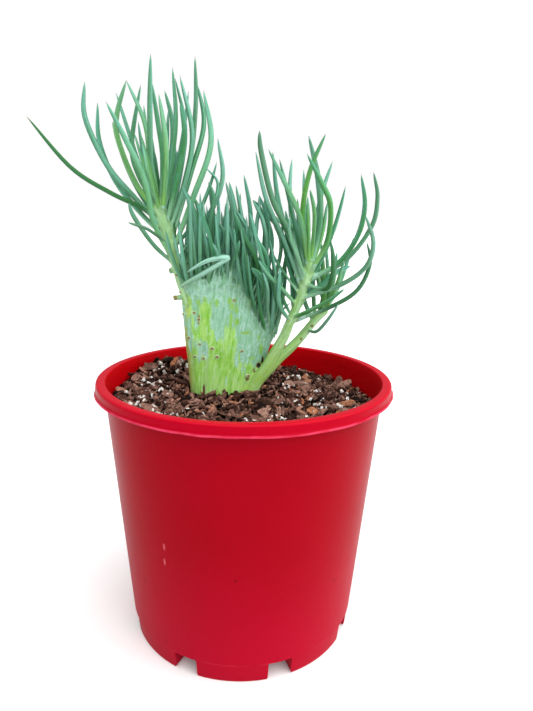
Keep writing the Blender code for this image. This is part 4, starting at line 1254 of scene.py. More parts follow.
def split_stem(name):
    """The stem's line and radii, parted where its own piece starts, a clearance apart."""
    line, radii = STEM_TUBES[name]
    cut = next(i for i, p in enumerate(line) if p.z >= STEMS[name]["start"])
    ahead = (line[cut + 1] - line[cut - 1]).normalized()
    short = ahead * STEM_COLLAR
    low, high = line[cut], line[cut] + ahead * CLEARANCE
    both = [radii[cut]] * 2
    stub = (line[:cut] + [low - short, low], radii[:cut] + both)
    upper = ([high, high + short] + line[cut + 2:], both + radii[cut + 2:])
    return stub, upper


BASE_LINE = smooth_line(FAN_BASE, FAN_STEPS)
CREST_LINE = smooth_line(FAN_CREST, FAN_STEPS)


def fan_spot(u, v, side):
    """A point of the fan's surface: u from -1 to 1 across, v from 0 at the mix to 1 at the crest."""
    fraction = (u + 1) / 2
    base = at_fraction(BASE_LINE, fraction)
    crest = at_fraction(CREST_LINE, fraction)
    fullness = 0.2 + 0.8 * math.sqrt(max(1 - abs(u) ** 3, 0))
    half = FAN_THICKNESS / 2 * (1 - CREST_THINNING * max(v, 0)) * fullness
    draw_in = Vector((u * ROOT_TAPER * min(v, 0.0), 0, 0))
    return base + (crest - base) * v + draw_in + Vector((0, side * half, 0))


thickest = max((fan_spot(0, v / 9, 1) - fan_spot(0, v / 9, -1)).length for v in range(10))
print(f"the fan is at most {thickest:.1f} mm thick")

# %% [markdown]
# Leaves crowd but do not grow through each other. Every leaf and stem is also kept as a row
# of balls. A new leaf is tried against all of them: a traced one is moved in depth until it
# is clear, and one placed by rule is dropped if it is not.

# %% Room for every leaf
class Garden:
    """Every placed leaf and stem as rows of balls, to find room for the next leaf."""

    def __init__(self):
        self.balls = np.zeros((0, 4))
        self.owner = np.zeros(0, dtype=int)

    def add(self, owner, points, radii):
        rows = np.array([[*p, r] for p, r in zip(points, radii)])
        self.balls = np.vstack([self.balls, rows])
        self.owner = np.append(self.owner, np.full(len(rows), owner))

    def overlap(self, owner, points, radii):
        """The worst lack of room of a new leaf: strict for other stems, mild for its own."""
        rows = np.array([[*p, r] for p, r in zip(points, radii)])
        apart = np.linalg.norm(rows[:, None, :3] - self.balls[None, :, :3], axis=2)
        touch = rows[:, None, 3] + self.balls[None, :, 3]
        own = self.owner == owner
        foot = len(rows) // 4
        foreign_lack = (touch + ROOM - apart)[:, ~own].max(initial=0.0)
        own_lack = (touch - apart)[foot:, own].max(initial=0.0)
        return max(foreign_lack, own_lack)


def traced_leaf(garden, owner, root, depth, radius, outline):
    """Grow a leaf at the first depth, either side of the wanted one, where it crosses nothing."""
    best = None
    for step in range(DEPTH_TRIES):
        shift = (step + 1) // 2 * DEPTH_STEP * (1 if step % 2 else -1)
        leaf = sight_leaf(root, depth + shift, radius, outline)
        lack = garden.overlap(owner, *leaf)
        if best is None or lack < best[0] - 0.05:
            best = (lack, leaf)
        if lack <= 0:
            break
    garden.add(owner, *best[1])
    return best[1]


def filled(garden, owner, count, tries, crowding, make):
    """Up to count leaves, one at a time, each kept only if there is room for it."""
    leaves = []
    for _ in range(count * tries):
        if len(leaves) == count:
            break
        leaf = make()
        if garden.overlap(owner, *leaf) <= crowding:
            garden.add(owner, *leaf)
            leaves.append(leaf)
    return leaves


# %% [markdown]
# Leaves on a stem leave it from the traced heights, and between them in a spiral. On the
# crest they stand in rows that fan to the front, up and to the back.

# %% Leaves on a stem and on the crest
def root_on_stem(line, height):
    return min(line, key=lambda p: abs(p.z - height))


def key_leaves(garden, owner, line, entries):
    return [traced_leaf(garden, owner, root_on_stem(line, height), depth, radius, outline)
            for height, depth, radius, *outline in entries]


def crest_key_leaves(garden, owner, entries):
    sink = Vector((0, 0, COMB_SINK))
    return [traced_leaf(garden, owner, at_fraction(CREST_LINE, fraction) - sink, depth, radius, outline)
            for fraction, depth, radius, *outline in entries]


def stem_fill(garden, owner, line, fill, seed):
    """Leaves in a spiral round the stem, most of them behind it, where there is room."""
    draw = random.Random(seed)
    turn = draw.uniform(0, math.tau)
    left, right = fill["sway"]

    def make():
        nonlocal turn
        turn += GOLDEN_ANGLE
        height = draw.uniform(*fill["span"])
        length = draw.uniform(*fill["length"])
        lean = draw.uniform(0.5, 1.1)
        radius = draw.uniform(1.15, 1.5)
        sideways = min(max(math.cos(turn), left), right)
        out = Vector((sideways, 0.25 + abs(math.sin(turn)), 0)).normalized()
        return arched_leaf(root_on_stem(line, height), out, length, lean, radius)

    return filled(garden, owner, fill["count"], TRIES_ON_STEM, 0.0, make)


def crest_fill(garden, owner, fill, seed, crowding=0.0):
    """The comb: leaves in rows along the crest, fanning to the front, up and to the back."""
    draw = random.Random(seed)

    def make():
        fraction = draw.uniform(*fill["span"])
        row = draw.choice((-0.6, 0.0, 0.7, 1.0))
        length = draw.uniform(*fill["length"])
        lean = abs(row) * draw.uniform(0.5, 1.0) + crowding * 0.4
        radius = draw.uniform(1.15, 1.45) - crowding * 0.25
        root = at_fraction(CREST_LINE, fraction) + Vector((0, 1.6 * row, -COMB_SINK))
        sideways = draw.uniform(-0.5 * min(1.0, 3 * fraction), 0.3) - crowding * 0.5
        out = Vector((sideways, row + draw.uniform(-0.3, 0.3), 0)).normalized()
        return arched_leaf(root, out, length, lean, radius)

    return filled(garden, owner, fill["count"], TRIES_ON_CREST, crowding, make)


# %% [markdown]
# The comb's own traced leaves are given in pixels and stand on the crest. Its front row
# starts on the trunk's face, a little under the crest, and follows the fibres before it
# turns up. The youngest leaves are only spikes that lie along the fibres.

# %% The comb's front
def comb_leaves(garden, owner, entries):
    """Leaves traced in the photo's pixels, from root to tip, standing on the crest."""
    leaves = []
    for forward, radius, *pixels in entries:
        foot, *outline = [on_plane(pixel) for pixel in pixels]
        depth = min(CREST_LINE, key=lambda p: abs(p.x - foot[0])).y - COMB_FORWARD
        root = along_sight(*foot, depth)
        leaves.append(traced_leaf(garden, owner, root, depth + forward, radius, outline))
    return leaves


def front_row(garden, owner, row, seed):
    """Short leaves that come out of the trunk's front face just under the crest."""
    draw = random.Random(seed)

    def make():
        u = 2 * draw.uniform(*row["span"]) - 1
        length = draw.uniform(*row["length"])
        root = fan_spot(u, draw.uniform(0.95, 1.0), -0.6)
        fibre = (fan_spot(u, 1.0, -1) - fan_spot(u, 0.7, -1)).normalized()
        out = Vector((draw.uniform(-1.2, 0.5), -1, 0)) * draw.uniform(0.03, 0.35)
        middle = root + (fibre + out).normalized() * 0.4 * length
        tip = root + Vector((0, 0, 0.9 * length)) + (fibre * 0.2 + out * 1.2) * length
        return bent_line(root, middle, tip), leaf_radii(draw.uniform(0.85, 1.25))

    return filled(garden, owner, row["count"], TRIES_ON_CREST, CROWDING, make)


def fringe(row, seed):
    """Leaves just starting: thin spikes that lie along the fibres at the crest's front margin."""
    draw = random.Random(seed)
    leaves = []
    for _ in range(row["count"]):
        u = 2 * draw.uniform(*row["span"]) ** 0.85 - 1
        v = draw.uniform(0.9, 1.0)
        length = draw.uniform(*row["length"])
        root = fan_spot(u, v, -0.9)
        fibre = (fan_spot(u, v + 0.1, -1) - fan_spot(u, v - 0.1, -1)).normalized()
        tip = root + (fibre + Vector((draw.uniform(-0.3, 0.5), draw.uniform(-0.5, -0.1), 0.1))) * length
        middle = root + fibre * 0.5 * length + Vector((0, -0.4, 0))
        leaves.append((bent_line(root, middle, tip, FRINGE_STEPS), [draw.uniform(0.6, 1.15)] * FRINGE_STEPS))
    return leaves


# %% [markdown]
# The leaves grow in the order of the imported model, so that the same random numbers give the
# same leaves. Only then do the extra ones find their room.

# %% Grow the leaves
def grow_plant():
    """Every leaf as its line and radii, by stem."""
    garden = Garden()
    trunk = len(STEMS)
    lines, grown = {}, {}
    for owner, name in enumerate(STEMS):
        stub, upper = split_stem(name)
        garden.add(trunk, *stub)
        garden.add(owner, *upper)
        lines[name] = upper[0]
    garden.add(trunk, [p - Vector((0, 0, CREST_SINK)) for p in CREST_LINE], [CREST_GIRTH] * FAN_STEPS)
    for owner, name in enumerate(STEMS):
        grown[name] = key_leaves(garden, owner, lines[name], STEM_LEAVES[name])
    comb = crest_key_leaves(garden, trunk, CREST_LEAVES)
    for owner, name in enumerate(STEMS):
        grown[name] += stem_fill(garden, owner, lines[name], STEM_FILLS[name], SEED + owner)
    comb += crest_fill(garden, trunk, CREST_FILL, SEED)
    for owner, name in enumerate(STEMS):
        grown[name] += key_leaves(garden, owner, lines[name], MORE_LEAVES[name])
    comb += crest_key_leaves(garden, trunk, MORE_CREST)
    comb += comb_leaves(garden, trunk, COMB_LEAVES)
    comb += front_row(garden, trunk, FRONT_ROW, SEED + 11)
    comb += crest_fill(garden, trunk, MORE_COMB, SEED + 10, CROWDING)
    folded = smooth_line([along_sight(*place) for place in FOLDED_LEAF], FINE_STEPS)
    comb[0] = (folded, leaf_radii(max(comb[0][1])))
    return grown | {"crested_trunk": comb}


GROWN = grow_plant()
FRINGE_LEAVES = fringe(FRINGE, SEED + 12)
for name, leaves in GROWN.items():
    print(f"{name}: {len(leaves)} leaves")

# %% [markdown]
# ## Trunk and stems
# The trunk and the stems are one living body, so they are made as one: a fine loft of the
# fan, a tube along each stem and the swollen foot of every leaf, merged by a voxel remesh and
# smoothed, which leaves soft joints. The feet of the comb run down the fan's faces as low
# ridges, which is why a crested stem looks combed just under its leaves.

# %% The body
FAN_COLUMNS = 56
FAN_ROWS = 44
BODY_VOXEL = 0.5
STEM_GIRTH = {"leader_stem": 1.0, "tall_side_stem": 0.97, "low_side_stem": 1.15}
SLIMNESS = {"leader_stem": 0.9, "tall_side_stem": 0.86, "low_side_stem": 0.86, "crested_trunk": 0.86,
            "comb_fringe": 0.8}
# Foot, tip and radius of each stump of a leaf
NUBS = (((182, 297.2), (173.2, 297.9), 1.25), ((173.5, 270), (169.2, 271.2), 1.4),
        ((165, 237.2), (162.4, 236), 0.6))


def with_modifiers(mesh, *wanted):
    """The mesh after modifiers, each given as its type and its settings."""
    holder = linked("workpiece", mesh)
    for kind, settings in wanted:
        modifier = holder.modifiers.new(kind.lower(), kind)
        for name, value in settings.items():
            setattr(modifier, name, value)
    return kept_mesh(holder)


def add_fan(bm):
    rings = []
    across = [2 * i / (FAN_COLUMNS - 1) - 1 for i in range(FAN_COLUMNS)]
    for row in range(FAN_ROWS + 1):
        v = ROOT_DEPTH + (1 - ROOT_DEPTH) * row / FAN_ROWS
        loop = [fan_spot(u, v, -1) for u in across] + [fan_spot(u, v, 1) for u in reversed(across)]
        rings.append([bm.verts.new(p) for p in loop])
    close_rings(bm, rings)


def add_tube(bm, line, radii, sides=10):
    rings = []
    side = Vector((0, 1, 0))
    turn = [math.tau * k / sides for k in range(sides)]
    for i, (centre, radius) in enumerate(zip(line, radii)):
        ahead = (line[min(i + 1, len(line) - 1)] - line[max(i - 1, 0)]).normalized()
        side = (side - ahead * side.dot(ahead)).normalized()
        up = ahead.cross(side)
        rings.append([bm.verts.new(centre + radius * (math.cos(a) * side + math.sin(a) * up)) for a in turn])
    close_rings(bm, rings)


def crest_place(point):
    """How far along the crest, as a fraction, the fibre through a point ends."""
    away = [abs(spot.x - point.x) + 0.4 * abs(spot.z - point.z) for spot in CREST_LINE]
    return away.index(min(away)) / (FAN_STEPS - 1)


def comb_foot(line, radii, draw):
    """A ridge on the fan's face that swells and runs out into the leaf."""
    u = 2 * crest_place(line[2]) - 1
    side = -1 if line[3].y < at_fraction(CREST_LINE, (u + 1) / 2).y + 0.8 else 1
    start = draw.uniform(0.80, 0.9)
    points = [fan_spot(u, start, side * 0.86), fan_spot(u, 0.93, side * 0.95), line[3], line[4]]
    girth = radii[12] * SLIMNESS["crested_trunk"]
    return smooth_line(points, 7), [0.3, 0.45, 0.6] + [girth * share for share in (0.75, 0.85, 0.9, 0.5)]


def body_mesh():
    bm = bmesh.new()
    add_fan(bm)
    for name, (line, radii) in STEM_TUBES.items():
        add_tube(bm, line, [r * STEM_GIRTH[name] for r in radii], sides=16)
        for line, radii in GROWN[name]:
            add_tube(bm, line[:4], [radii[9] * share for share in (1.0, 1.0, 0.8, 0.5)])
    draw = random.Random(SEED + 30)
    for line, radii in GROWN["crested_trunk"]:
        add_tube(bm, *comb_foot(line, radii, draw))
    for near, far, radius in NUBS:
        ends = [along_sight(*on_plane(pixel), 2.5) for pixel in (near, far)]
        add_tube(bm, smooth_line(ends, 4), [radius * share for share in (0.8, 0.9, 1.05, 1.0)])
    remesh = ("REMESH", {"mode": "VOXEL", "voxel_size": BODY_VOXEL})
    return with_modifiers(mesh_of(outward(bm), "body"), remesh, ("SMOOTH", {"factor": 0.5, "iterations": 3}))


skin = body_mesh()
print(len(skin.vertices), "points on the body")

# %% [markdown]
# Every point of the body then learns where it is: how far across the fan and up it, or how
# far along its stem and round it. The fibres of the skin follow those directions, and low
# ribs are raised along them.

# %% Fibres and ribs
RIB_HEIGHT = 0.42
STEM_EDGE = (1.75, 1.3)
FAN_WEAVE = Vector((21, 56, 30))
STEM_WEAVES = (80, 110, 140)
OFF_FAN = 1.6
CREST_ZONE = 0.93


def fan_samples():
    """Points all over the fan with their u, v and side, in a tree for searching."""
    places = [(i / 30 - 1, ROOT_DEPTH + (1 - ROOT_DEPTH) * j / 60, side)
              for side in (-1, 1) for i in range(61) for j in range(61)]
    tree = KDTree(len(places))
    for index, place in enumerate(places):
        tree.insert(fan_spot(*place), index)
    tree.balance()
    return places, tree


def on_stems(point, off_fan):
    """How surely a point is on a stem, and its fibre coordinates there. Off the fan it is sure."""
    best = (1e9, None)
    for weave, (line, radii) in zip(STEM_WEAVES, STEM_TUBES.values()):
        k = min(range(STEM_STEPS), key=lambda i: (point - line[i]).length_squared)
        away = point - line[k]
        ratio = away.length / radii[k]
        if ratio < best[0]:
            along = (line[min(k + 1, STEM_STEPS - 1)] - line[max(k - 1, 0)]).normalized()
            turn = math.atan2(away.y, away.dot(along.cross(Vector((0, 1, 0)))))
            best = (ratio, Vector((turn * radii[k], line[k].z, weave)))
    outer, inner = STEM_EDGE
    share = 1.0 if off_fan else min(max((outer - best[0]) / (outer - inner), 0), 1)
    return share, best[1]


def skin_places(mesh):
    """Rows of what every point knows, by name. The weave is its fibre coordinates in millimetres."""
    places, tree = fan_samples()
    rows = {name: [] for name in ("weave", "across", "rise", "on_stem", "raised")}
    for vert in mesh.vertices:
        near = tree.find_n(vert.co, 3)
        weights = [1 / (far + 0.05) for _, _, far in near]
        u, v = (sum(w * places[index][axis] for w, (_, index, _) in zip(weights, near)) / sum(weights)
                for axis in (0, 1))
        _, closest, off_fan = near[0]
        side = places[closest][2]
        share, on_stem = on_stems(vert.co, off_fan > OFF_FAN and v < CREST_ZONE)
        fan = FAN_WEAVE * Vector((u, v, side))
        raised = (vert.co.y - fan_spot(u, v, side).y) * side
        for name, value in zip(rows, (on_stem if share > 0.5 else fan, u, v, share, raised)):
            rows[name].append(value)
    return rows


def ribbed(mesh, rows):
    """Low ribs along the fibres, as on every crested stem."""
    moves = []
    for vert, weave, share in zip(mesh.vertices, rows["weave"], rows["on_stem"]):
        rib = noise.noise(Vector((weave.x * 0.42, weave.y * 0.03, weave.z)))
        fine = noise.noise(Vector((weave.x * 1.5, weave.y * 0.09, weave.z)))
        lump = noise.noise(vert.co * 0.09)
        height = RIB_HEIGHT * (1 - 0.6 * share)
        moves.append(vert.co + vert.normal * (height * (rib + 0.35 * fine) + 0.3 * lump * (1 - share)))
    mesh.vertices.foreach_set("co", [c for place in moves for c in place])
    mesh.update()


skin_rows = skin_places(skin)
ribbed(skin, skin_rows)
print(sum(share > 0.5 for share in skin_rows["on_stem"]), "points on the stems")

# %% [markdown]
# The photo shows where the wax has been rubbed off and where old leaves have left scars.
# Each mark is a pixel of the photo, followed along its sight line until it meets the body.
# Rubbed spots and bruises are painted on the points round it, longer along the fibres. The
# strongest dark marks, by the foot of the side stems, are painted shade in the gap between them and the
# trunk.

# %% Marks on the trunk
# Pixel, half width, half length and strength
RUBBED = (((190.2, 302), 0.8, 1.7, 1), ((198.2, 302.5), 0.9, 1.6, 1), ((204.5, 299), 0.8, 1.5, 1),
          ((210.8, 303), 0.5, 0.8, 1), ((216.6, 303), 0.9, 2.2, 1), ((229.8, 300.6), 1.3, 1.6, 1),
          ((232, 306.3), 1.2, 2.0, 1), ((236.7, 309.8), 0.8, 2.3, 1), ((231, 318.4), 0.9, 2.6, 1),
          ((236.7, 321.8), 1.5, 2.0, 1), ((245.8, 333), 2.6, 0.9, 1), ((230.5, 325), 0.8, 3.0, 1),
          ((259, 338), 1.0, 2.4, 0.7), ((261, 349.4), 1.2, 3.0, 1), ((252, 358), 2.4, 0.9, 0.8))
LIME = (((205, 320), 2.6, 8.5, 1), ((209, 337), 2.6, 4, 1), ((230, 338), 2.6, 5.5, 1),
        ((224, 358), 5.5, 5.5, 1), ((194, 326), 1.5, 6, 0.6), ((233, 372), 2.2, 7, 0.8),
        ((211, 380), 6, 7, 0.8), ((192, 375), 3, 9, 0.6), ((249, 372), 2.0, 6, 0.8),
        ((186, 350), 2.2, 10, 0.7), ((243, 385), 2.5, 3, 0.4), ((187, 305), 2, 6, 0.6))
WAX = (((219, 322), 3.2, 7.5, 1), ((204, 346), 2.0, 5, 1), ((228, 345), 1.3, 4.5, 0.9),
       ((247, 342), 6.5, 8, 1), ((225.5, 383), 2.2, 5.5, 1), ((236, 362), 1.0, 6, 0.9),
       ((233, 385), 0.9, 4, 0.7), ((245, 378), 1.6, 5, 0.7), ((196, 318), 1.0, 5, 0.7),
       ((199, 366), 1.2, 6, 0.8), ((190, 340), 1.2, 6, 0.8), ((243, 315), 5, 8, 1),
       ((257, 357), 3, 4, 0.8), ((205, 375), 0.9, 6, 0.6))
# Bruises, olive brown to near black. The near-black ones of strength 1 by the foot of the side stems are
# painted shade in the gap between them and the trunk.
BRUISES_AND_GAP_SHADE = (((234.4, 300.6), 1.2, 1.0, 0.22), ((245.8, 332.7), 2.2, 0.35, 0.16),
           ((247.4, 377.5), 1.2, 1.8, 0.45), ((190, 388), 1.0, 1.6, 0.5), ((170.5, 252), 0.6, 5.0, 0.12),
           ((258.6, 365.3), 1.1, 1.3, 1), ((262.5, 360.5), 0.6, 2.0, 1), ((254.3, 371.6), 0.35, 2.4, 0.7),
           ((312, 326), 0.8, 0.8, 0.4), ((301, 339), 0.6, 0.7, 0.4), ((198.8, 319.5), 0.7, 2.6, 0.3),
           ((174, 297.8), 1.8, 1.6, 0.3), ((169, 271), 0.8, 0.8, 0.2))
# Pixel and size
SCARS = (((183.3, 314), 0.75), ((194.2, 312.7), 0.8), ((198.8, 319.3), 0.85), ((198.6, 323), 0.6),
         ((182.9, 339), 0.7), ((188.8, 337.7), 0.85), ((199.7, 344.2), 0.8), ((212, 348.5), 0.9),
         ((194.8, 356.5), 0.75), ((203.6, 358.3), 0.85), ((217.2, 356.9), 0.9), ((241.8, 351.1), 0.8),
         ((248, 376), 1.0), ((189.6, 387), 0.8), ((176.5, 275), 0.7), ((180.2, 292), 0.6),
         ((293, 352), 0.7), ((284, 361), 0.7))


def hit_by_sight(tree, pixel):
    """Where the photo's camera sees this pixel on the body, and the normal there."""
    return tree.ray_cast(EYE_PLACE, sight_line(pixel))[:2]


def painted(mesh, tree, marks, softness=0.5):
    """For every point, the strength of the marks it lies in, fading at their edges."""
    co = np.array([vert.co for vert in mesh.vertices])
    values = np.zeros(len(co))
    for pixel, wide, long, strength in marks:
        spot, _ = hit_by_sight(tree, pixel)
        if spot is not None:
            away = co - np.array(spot)
            reach = np.hypot(np.hypot(away[:, 0], away[:, 1]) / wide, away[:, 2] / long)
            values = np.maximum(values, strength * np.clip((1 + softness / 2 - reach) / softness, 0, 1))
    return values


def carry(mesh, rows):
    """Let every point of the mesh carry these values: numbers or vectors, by name."""
    for name, values in rows.items():
        if isinstance(values[0], Vector):
            flat = [c for value in values for c in value]
            mesh.attributes.new(name, "FLOAT_VECTOR", "POINT").data.foreach_set("vector", flat)
        else:
            mesh.attributes.new(name, "FLOAT", "POINT").data.foreach_set("value", values)


skin_tree = BVHTree.FromPolygons([v.co for v in skin.vertices], [p.vertices for p in skin.polygons])
skin_rows["rubbed"] = painted(skin, skin_tree, RUBBED, 1.1)
skin_rows["bruise_and_gap_shade"] = painted(skin, skin_tree, BRUISES_AND_GAP_SHADE)
skin_rows["waxed"] = painted(skin, skin_tree, WAX, 1.2) - painted(skin, skin_tree, LIME, 1.2)
carry(skin, skin_rows)
skin.shade_smooth()
print((skin_rows["rubbed"] > 0.5).sum(), "points rubbed bare")

# %% [markdown]
# Chalk sticks are covered with farina, a pale bluish wax that rubs off. On the trunk it is
# whole near the crest and worn through to lime green lower down, in streaks along the
# fibres. The mask for it is the height up the fan plus streaky noise, and it reaches lower
# on the right, where nothing has rubbed it.

# %% Skin finish
def skin_finish():
    finish = Finish("plant_skin", Specular_IOR_Level=0.3)
    weave, = finish.attributes("weave", out="Vector")
    rise, across, on_stem, raised = finish.attributes("rise", "across", "on_stem", "raised")
    waxed, rubbed_off, bruise_and_gap_shade = finish.attributes("waxed", "rubbed", "bruise_and_gap_shade")
    _, height, _ = finish.parts(weave)
    wide = finish.noise(weave, 3.4, detail=3, distortion=0.6, stretch=(1, 0.22, 1))
    streak = finish.noise(weave, 1.5, detail=4, roughness=0.6, stretch=(1, 0.13, 1))
    fine = finish.noise(weave, 0.55, detail=3, stretch=(1, 0.06, 1))
    film = finish.noise(weave, 2.4, detail=4, roughness=0.65, distortion=1.2, stretch=(1, 0.45, 1))
    frayed = finish.noise(weave, 0.6, detail=4, roughness=0.7, stretch=(1, 0.5, 1))
    feet = finish.noise(weave, 1.1, detail=2, stretch=(1, 0.05, 1))
    mottle = finish.noise(finish.place(), 0.0017, detail=4, roughness=0.7)
    ragged = (wide - 0.5) * 1.4 + (streak - 0.5) * 1.2 + (mottle - 0.5) * 0.5
    reach = rise + finish.fade(across, -0.2, 0.8, 0.0, 0.3) + ragged + waxed * 0.5
    rubbed = finish.fade(rubbed_off + (frayed - 0.5) * 2.4, 0.42, 0.72)
    farina = finish.fade(reach, 0.45, 0.72) * (1 - rubbed * 0.92)
    lime = finish.coat(
        finish.mix(finish.fade(streak, 0.38, 0.62), (153, 201, 102), (116, 179, 52)),
        (finish.fade(wide, 0.45, 0.7) * 0.5, (162, 206, 132)),
        (finish.fade(film, 0.52, 0.66) * 0.55, (172, 208, 160)),
        (finish.fade(rise, 0.3, 0.0) * finish.fade(fine, 0.4, 0.6) * 0.5, (172, 210, 136)),
        (rubbed * 0.6, (112, 164, 48)),
        # Painted shade: the fan's left edge is laid a darker olive.
        (finish.fade(across, -0.86, -0.99) * 0.8, (152, 150, 74)))
    wax = finish.coat(
        finish.mix(finish.fade(streak, 0.35, 0.65), (116, 170, 132), (148, 194, 172)),
        (finish.fade(film, 0.5, 0.64) * 0.6, (172, 208, 196)),
        (finish.fade(film, 0.46, 0.34) * 0.55, (126, 180, 112)),
        (finish.fade(fine, 0.5, 0.68) * 0.4, (104, 160, 108)),
        (finish.fade(mottle, 0.54, 0.7) * 0.4, (178, 212, 200)))
    stem = finish.coat(
        finish.mix(finish.fade(streak, 0.4, 0.65), (134, 178, 104), (160, 202, 152)),
        (finish.fade(height, 170.0, 205.0) * 0.7, (152, 194, 146)),
        (finish.fade(height, 152.0, 122.0) * finish.fade(film, 0.4, 0.56, 0.4, 0.9), (152, 196, 84)),
        (finish.fade(mottle, 0.52, 0.68) * 0.35, (182, 212, 170)))
    # Painted shade: dark green in the dips between the comb's feet, just under the crest.
    hollow_shade = finish.fade(raised + (feet - 0.5) * 1.2, 0.3, -0.05)
    colour = finish.coat(
        finish.mix(farina, lime, wax),
        (hollow_shade * finish.fade(rise, 0.84, 0.97) * 0.85, (44, 94, 44)),
        (on_stem, stem),
        # Bruises, and the near-black painted shade of the gap between the trunk and the side stems.
        (finish.fade(bruise_and_gap_shade, 0.02, 0.3),
         finish.ramp(bruise_and_gap_shade, (0.0, (140, 150, 80)), (0.45, (104, 92, 50)), (1.0, (18, 14, 12)))))
    finish.set("Base Color", colour)
    finish.set("Roughness", 0.5 + farina * 0.25)
    finish.set("Normal", finish.bump(fine * 0.6 + streak, 0.0004))
    return finish.material


skin.materials.append(skin_finish())
settle("stem_skin", skin, ["crested_trunk", *STEMS])

# %% [markdown]
# A fallen leaf leaves a small corky ring. One scar is modelled, and a tree puts a copy on
# each marked point, turned to face out of the skin. The back of the trunk, which the photo
# doesn't show, gets a few by rule.

# %% Scars
SCAR_RINGS = ((0.0, -0.05), (0.28, 0.02), (0.5, 0.3), (0.75, 0.34), (1.0, 0.12), (1.3, -0.3))
SCAR_SIDES = 12
SCARS_BEHIND = 22


def scar_mesh():
    bm = bmesh.new()
    ring_layer = bm.verts.layers.float.new("from_centre")
    rings = []
    for radius, height in SCAR_RINGS:
        ring = []
        for i in range(SCAR_SIDES if radius else 1):
            a = math.tau * i / SCAR_SIDES
            vert = bm.verts.new((radius * math.cos(a), 0.8 * radius * math.sin(a), height))
            vert[ring_layer] = radius
            ring.append(vert)
        rings.append(ring)
    join_rings(bm, rings[::-1])
    bm.faces.new(rings[-1][::-1])
    bmesh.ops.scale(bm, vec=(1.2, 1.2, 1.0), verts=bm.verts)
    return mesh_of(bm, "scar")


def scar_points(tree):
    """The marked points on the body, with the normal and the size of each scar."""
    draw = random.Random(SEED + 40)
    spots = []
    for pixel, size in SCARS:
        spot, normal = hit_by_sight(tree, pixel)
        if spot is not None:
            spots.append((spot, normal, size))
    for _ in range(SCARS_BEHIND):
        outside = fan_spot(draw.uniform(-0.9, 0.9), draw.uniform(0.08, 0.7), 3)
        spot, normal, _, _ = tree.ray_cast(outside, Vector((0, -1, 0)))
        spots.append((spot, normal, draw.uniform(0.6, 0.9)))
    places, facing, sizes = zip(*spots)
    mesh = bpy.data.meshes.new("scar_points")
    mesh.from_pydata(places, [], [])
    carry(mesh, {"facing": facing, "size": sizes})
    return mesh


def scar_finish():
    finish = Finish("corky_scar", Specular_IOR_Level=0.2, Roughness=0.85)
    centre, = finish.attributes("from_centre")
    stops = ((0.0, (50, 36, 24)), (0.2, (98, 80, 52)), (0.45, (146, 132, 94)), (0.75, (164, 194, 146)))
    finish.set("Base Color", finish.ramp(centre / SCAR_RINGS[-1][0], *stops))
    return finish.material


def make_scars(tree):
    scar = linked("scar", scar_mesh())
    sprout = Sprout("scars", {"Scar": scar})
    sockets = {"Vector": sprout.named("facing", "FLOAT_VECTOR")}
    turn = sprout.add("FunctionNodeAlignRotationToVector", {"axis": "Z"}, sockets)
    copies = sprout.copies(sprout.given("Geometry"), sprout.shape("Scar"), turn, sprout.named("size"))
    mesh = sprout.run(scar_points(tree), scar_finish(), copies)
    bpy.data.objects.remove(scar)
    mesh.shade_smooth()
    settle("leaf_scars", mesh, ["crested_trunk"])


make_scars(skin_tree)

# %% [markdown]
# ## Leaves
# Every leaf is a round, fleshy stick. Its centre line is a chain of edges whose points carry
# the radius and what the finish wants to know: how far along the leaf they are, how young the
# leaf is, where low values paint it deep green for age and shade, and a random number for it.
# One tree runs a slightly flattened ring along each chain, as wide as the radius says.

# %% Leaf tubes
LEAF_SIDES = 12
LEAF_FLATNESS = 0.88
# By the number of the leaf, where the photo shows it. Below 0 a leaf is deep green, for an old leaf and as
# painted shade.
YOUTH_AND_SHADE = {"leader_stem": {0: -0.8, 1: -0.35, 2: -0.35, 4: -0.4, 5: -0.9, 6: 0.8, 7: 0.6, 10: 0.8, 11: 0.7,
                         12: 0.7, 13: 0.8, 14: 0.1, 16: 0.9, 22: -0.5},
         "tall_side_stem": {0: -0.7, 1: -0.4, 2: 0.6, 4: -0.5, 6: -0.4, 7: 0.9, 8: 0.5, 9: 0.3, 10: 0.9,
                            11: 0.9, 13: -0.7, 14: -0.5, 15: -0.8, 16: -0.7, 19: 0.6},
         "low_side_stem": {0: -0.6, 1: 0.9, 2: 0.9, 3: 0.9, 4: 0.9}, "crested_trunk": {}, "comb_fringe": {}}
USUAL_YOUTH_AND_SHADE = {"leader_stem": (-0.25, 0.45), "tall_side_stem": (-0.5, 0.5), "low_side_stem": (-0.1, 0.9),
               "crested_trunk": (-0.6, 0.4), "comb_fringe": (-0.5, 0.5)}
GIRTHS = {("crested_trunk", 0): 1.25}
BLOOM = {("crested_trunk", 0): 1.0, ("leader_stem", 0): 0.0, ("leader_stem", 1): 0.0,
         ("leader_stem", 2): 0.0, ("leader_stem", 14): 0.3}
USUAL_BLOOM = {"comb_fringe": (0.1, 0.8)}


def full_radius(t, peak):
    """A leaf keeps its girth until close to the tip and then tapers to a point."""
    foot = min(1.0, 0.74 + 1.0 * t)
    return 0.96 * peak * foot * max(1 - t ** 6.5, 0.0) ** 0.66


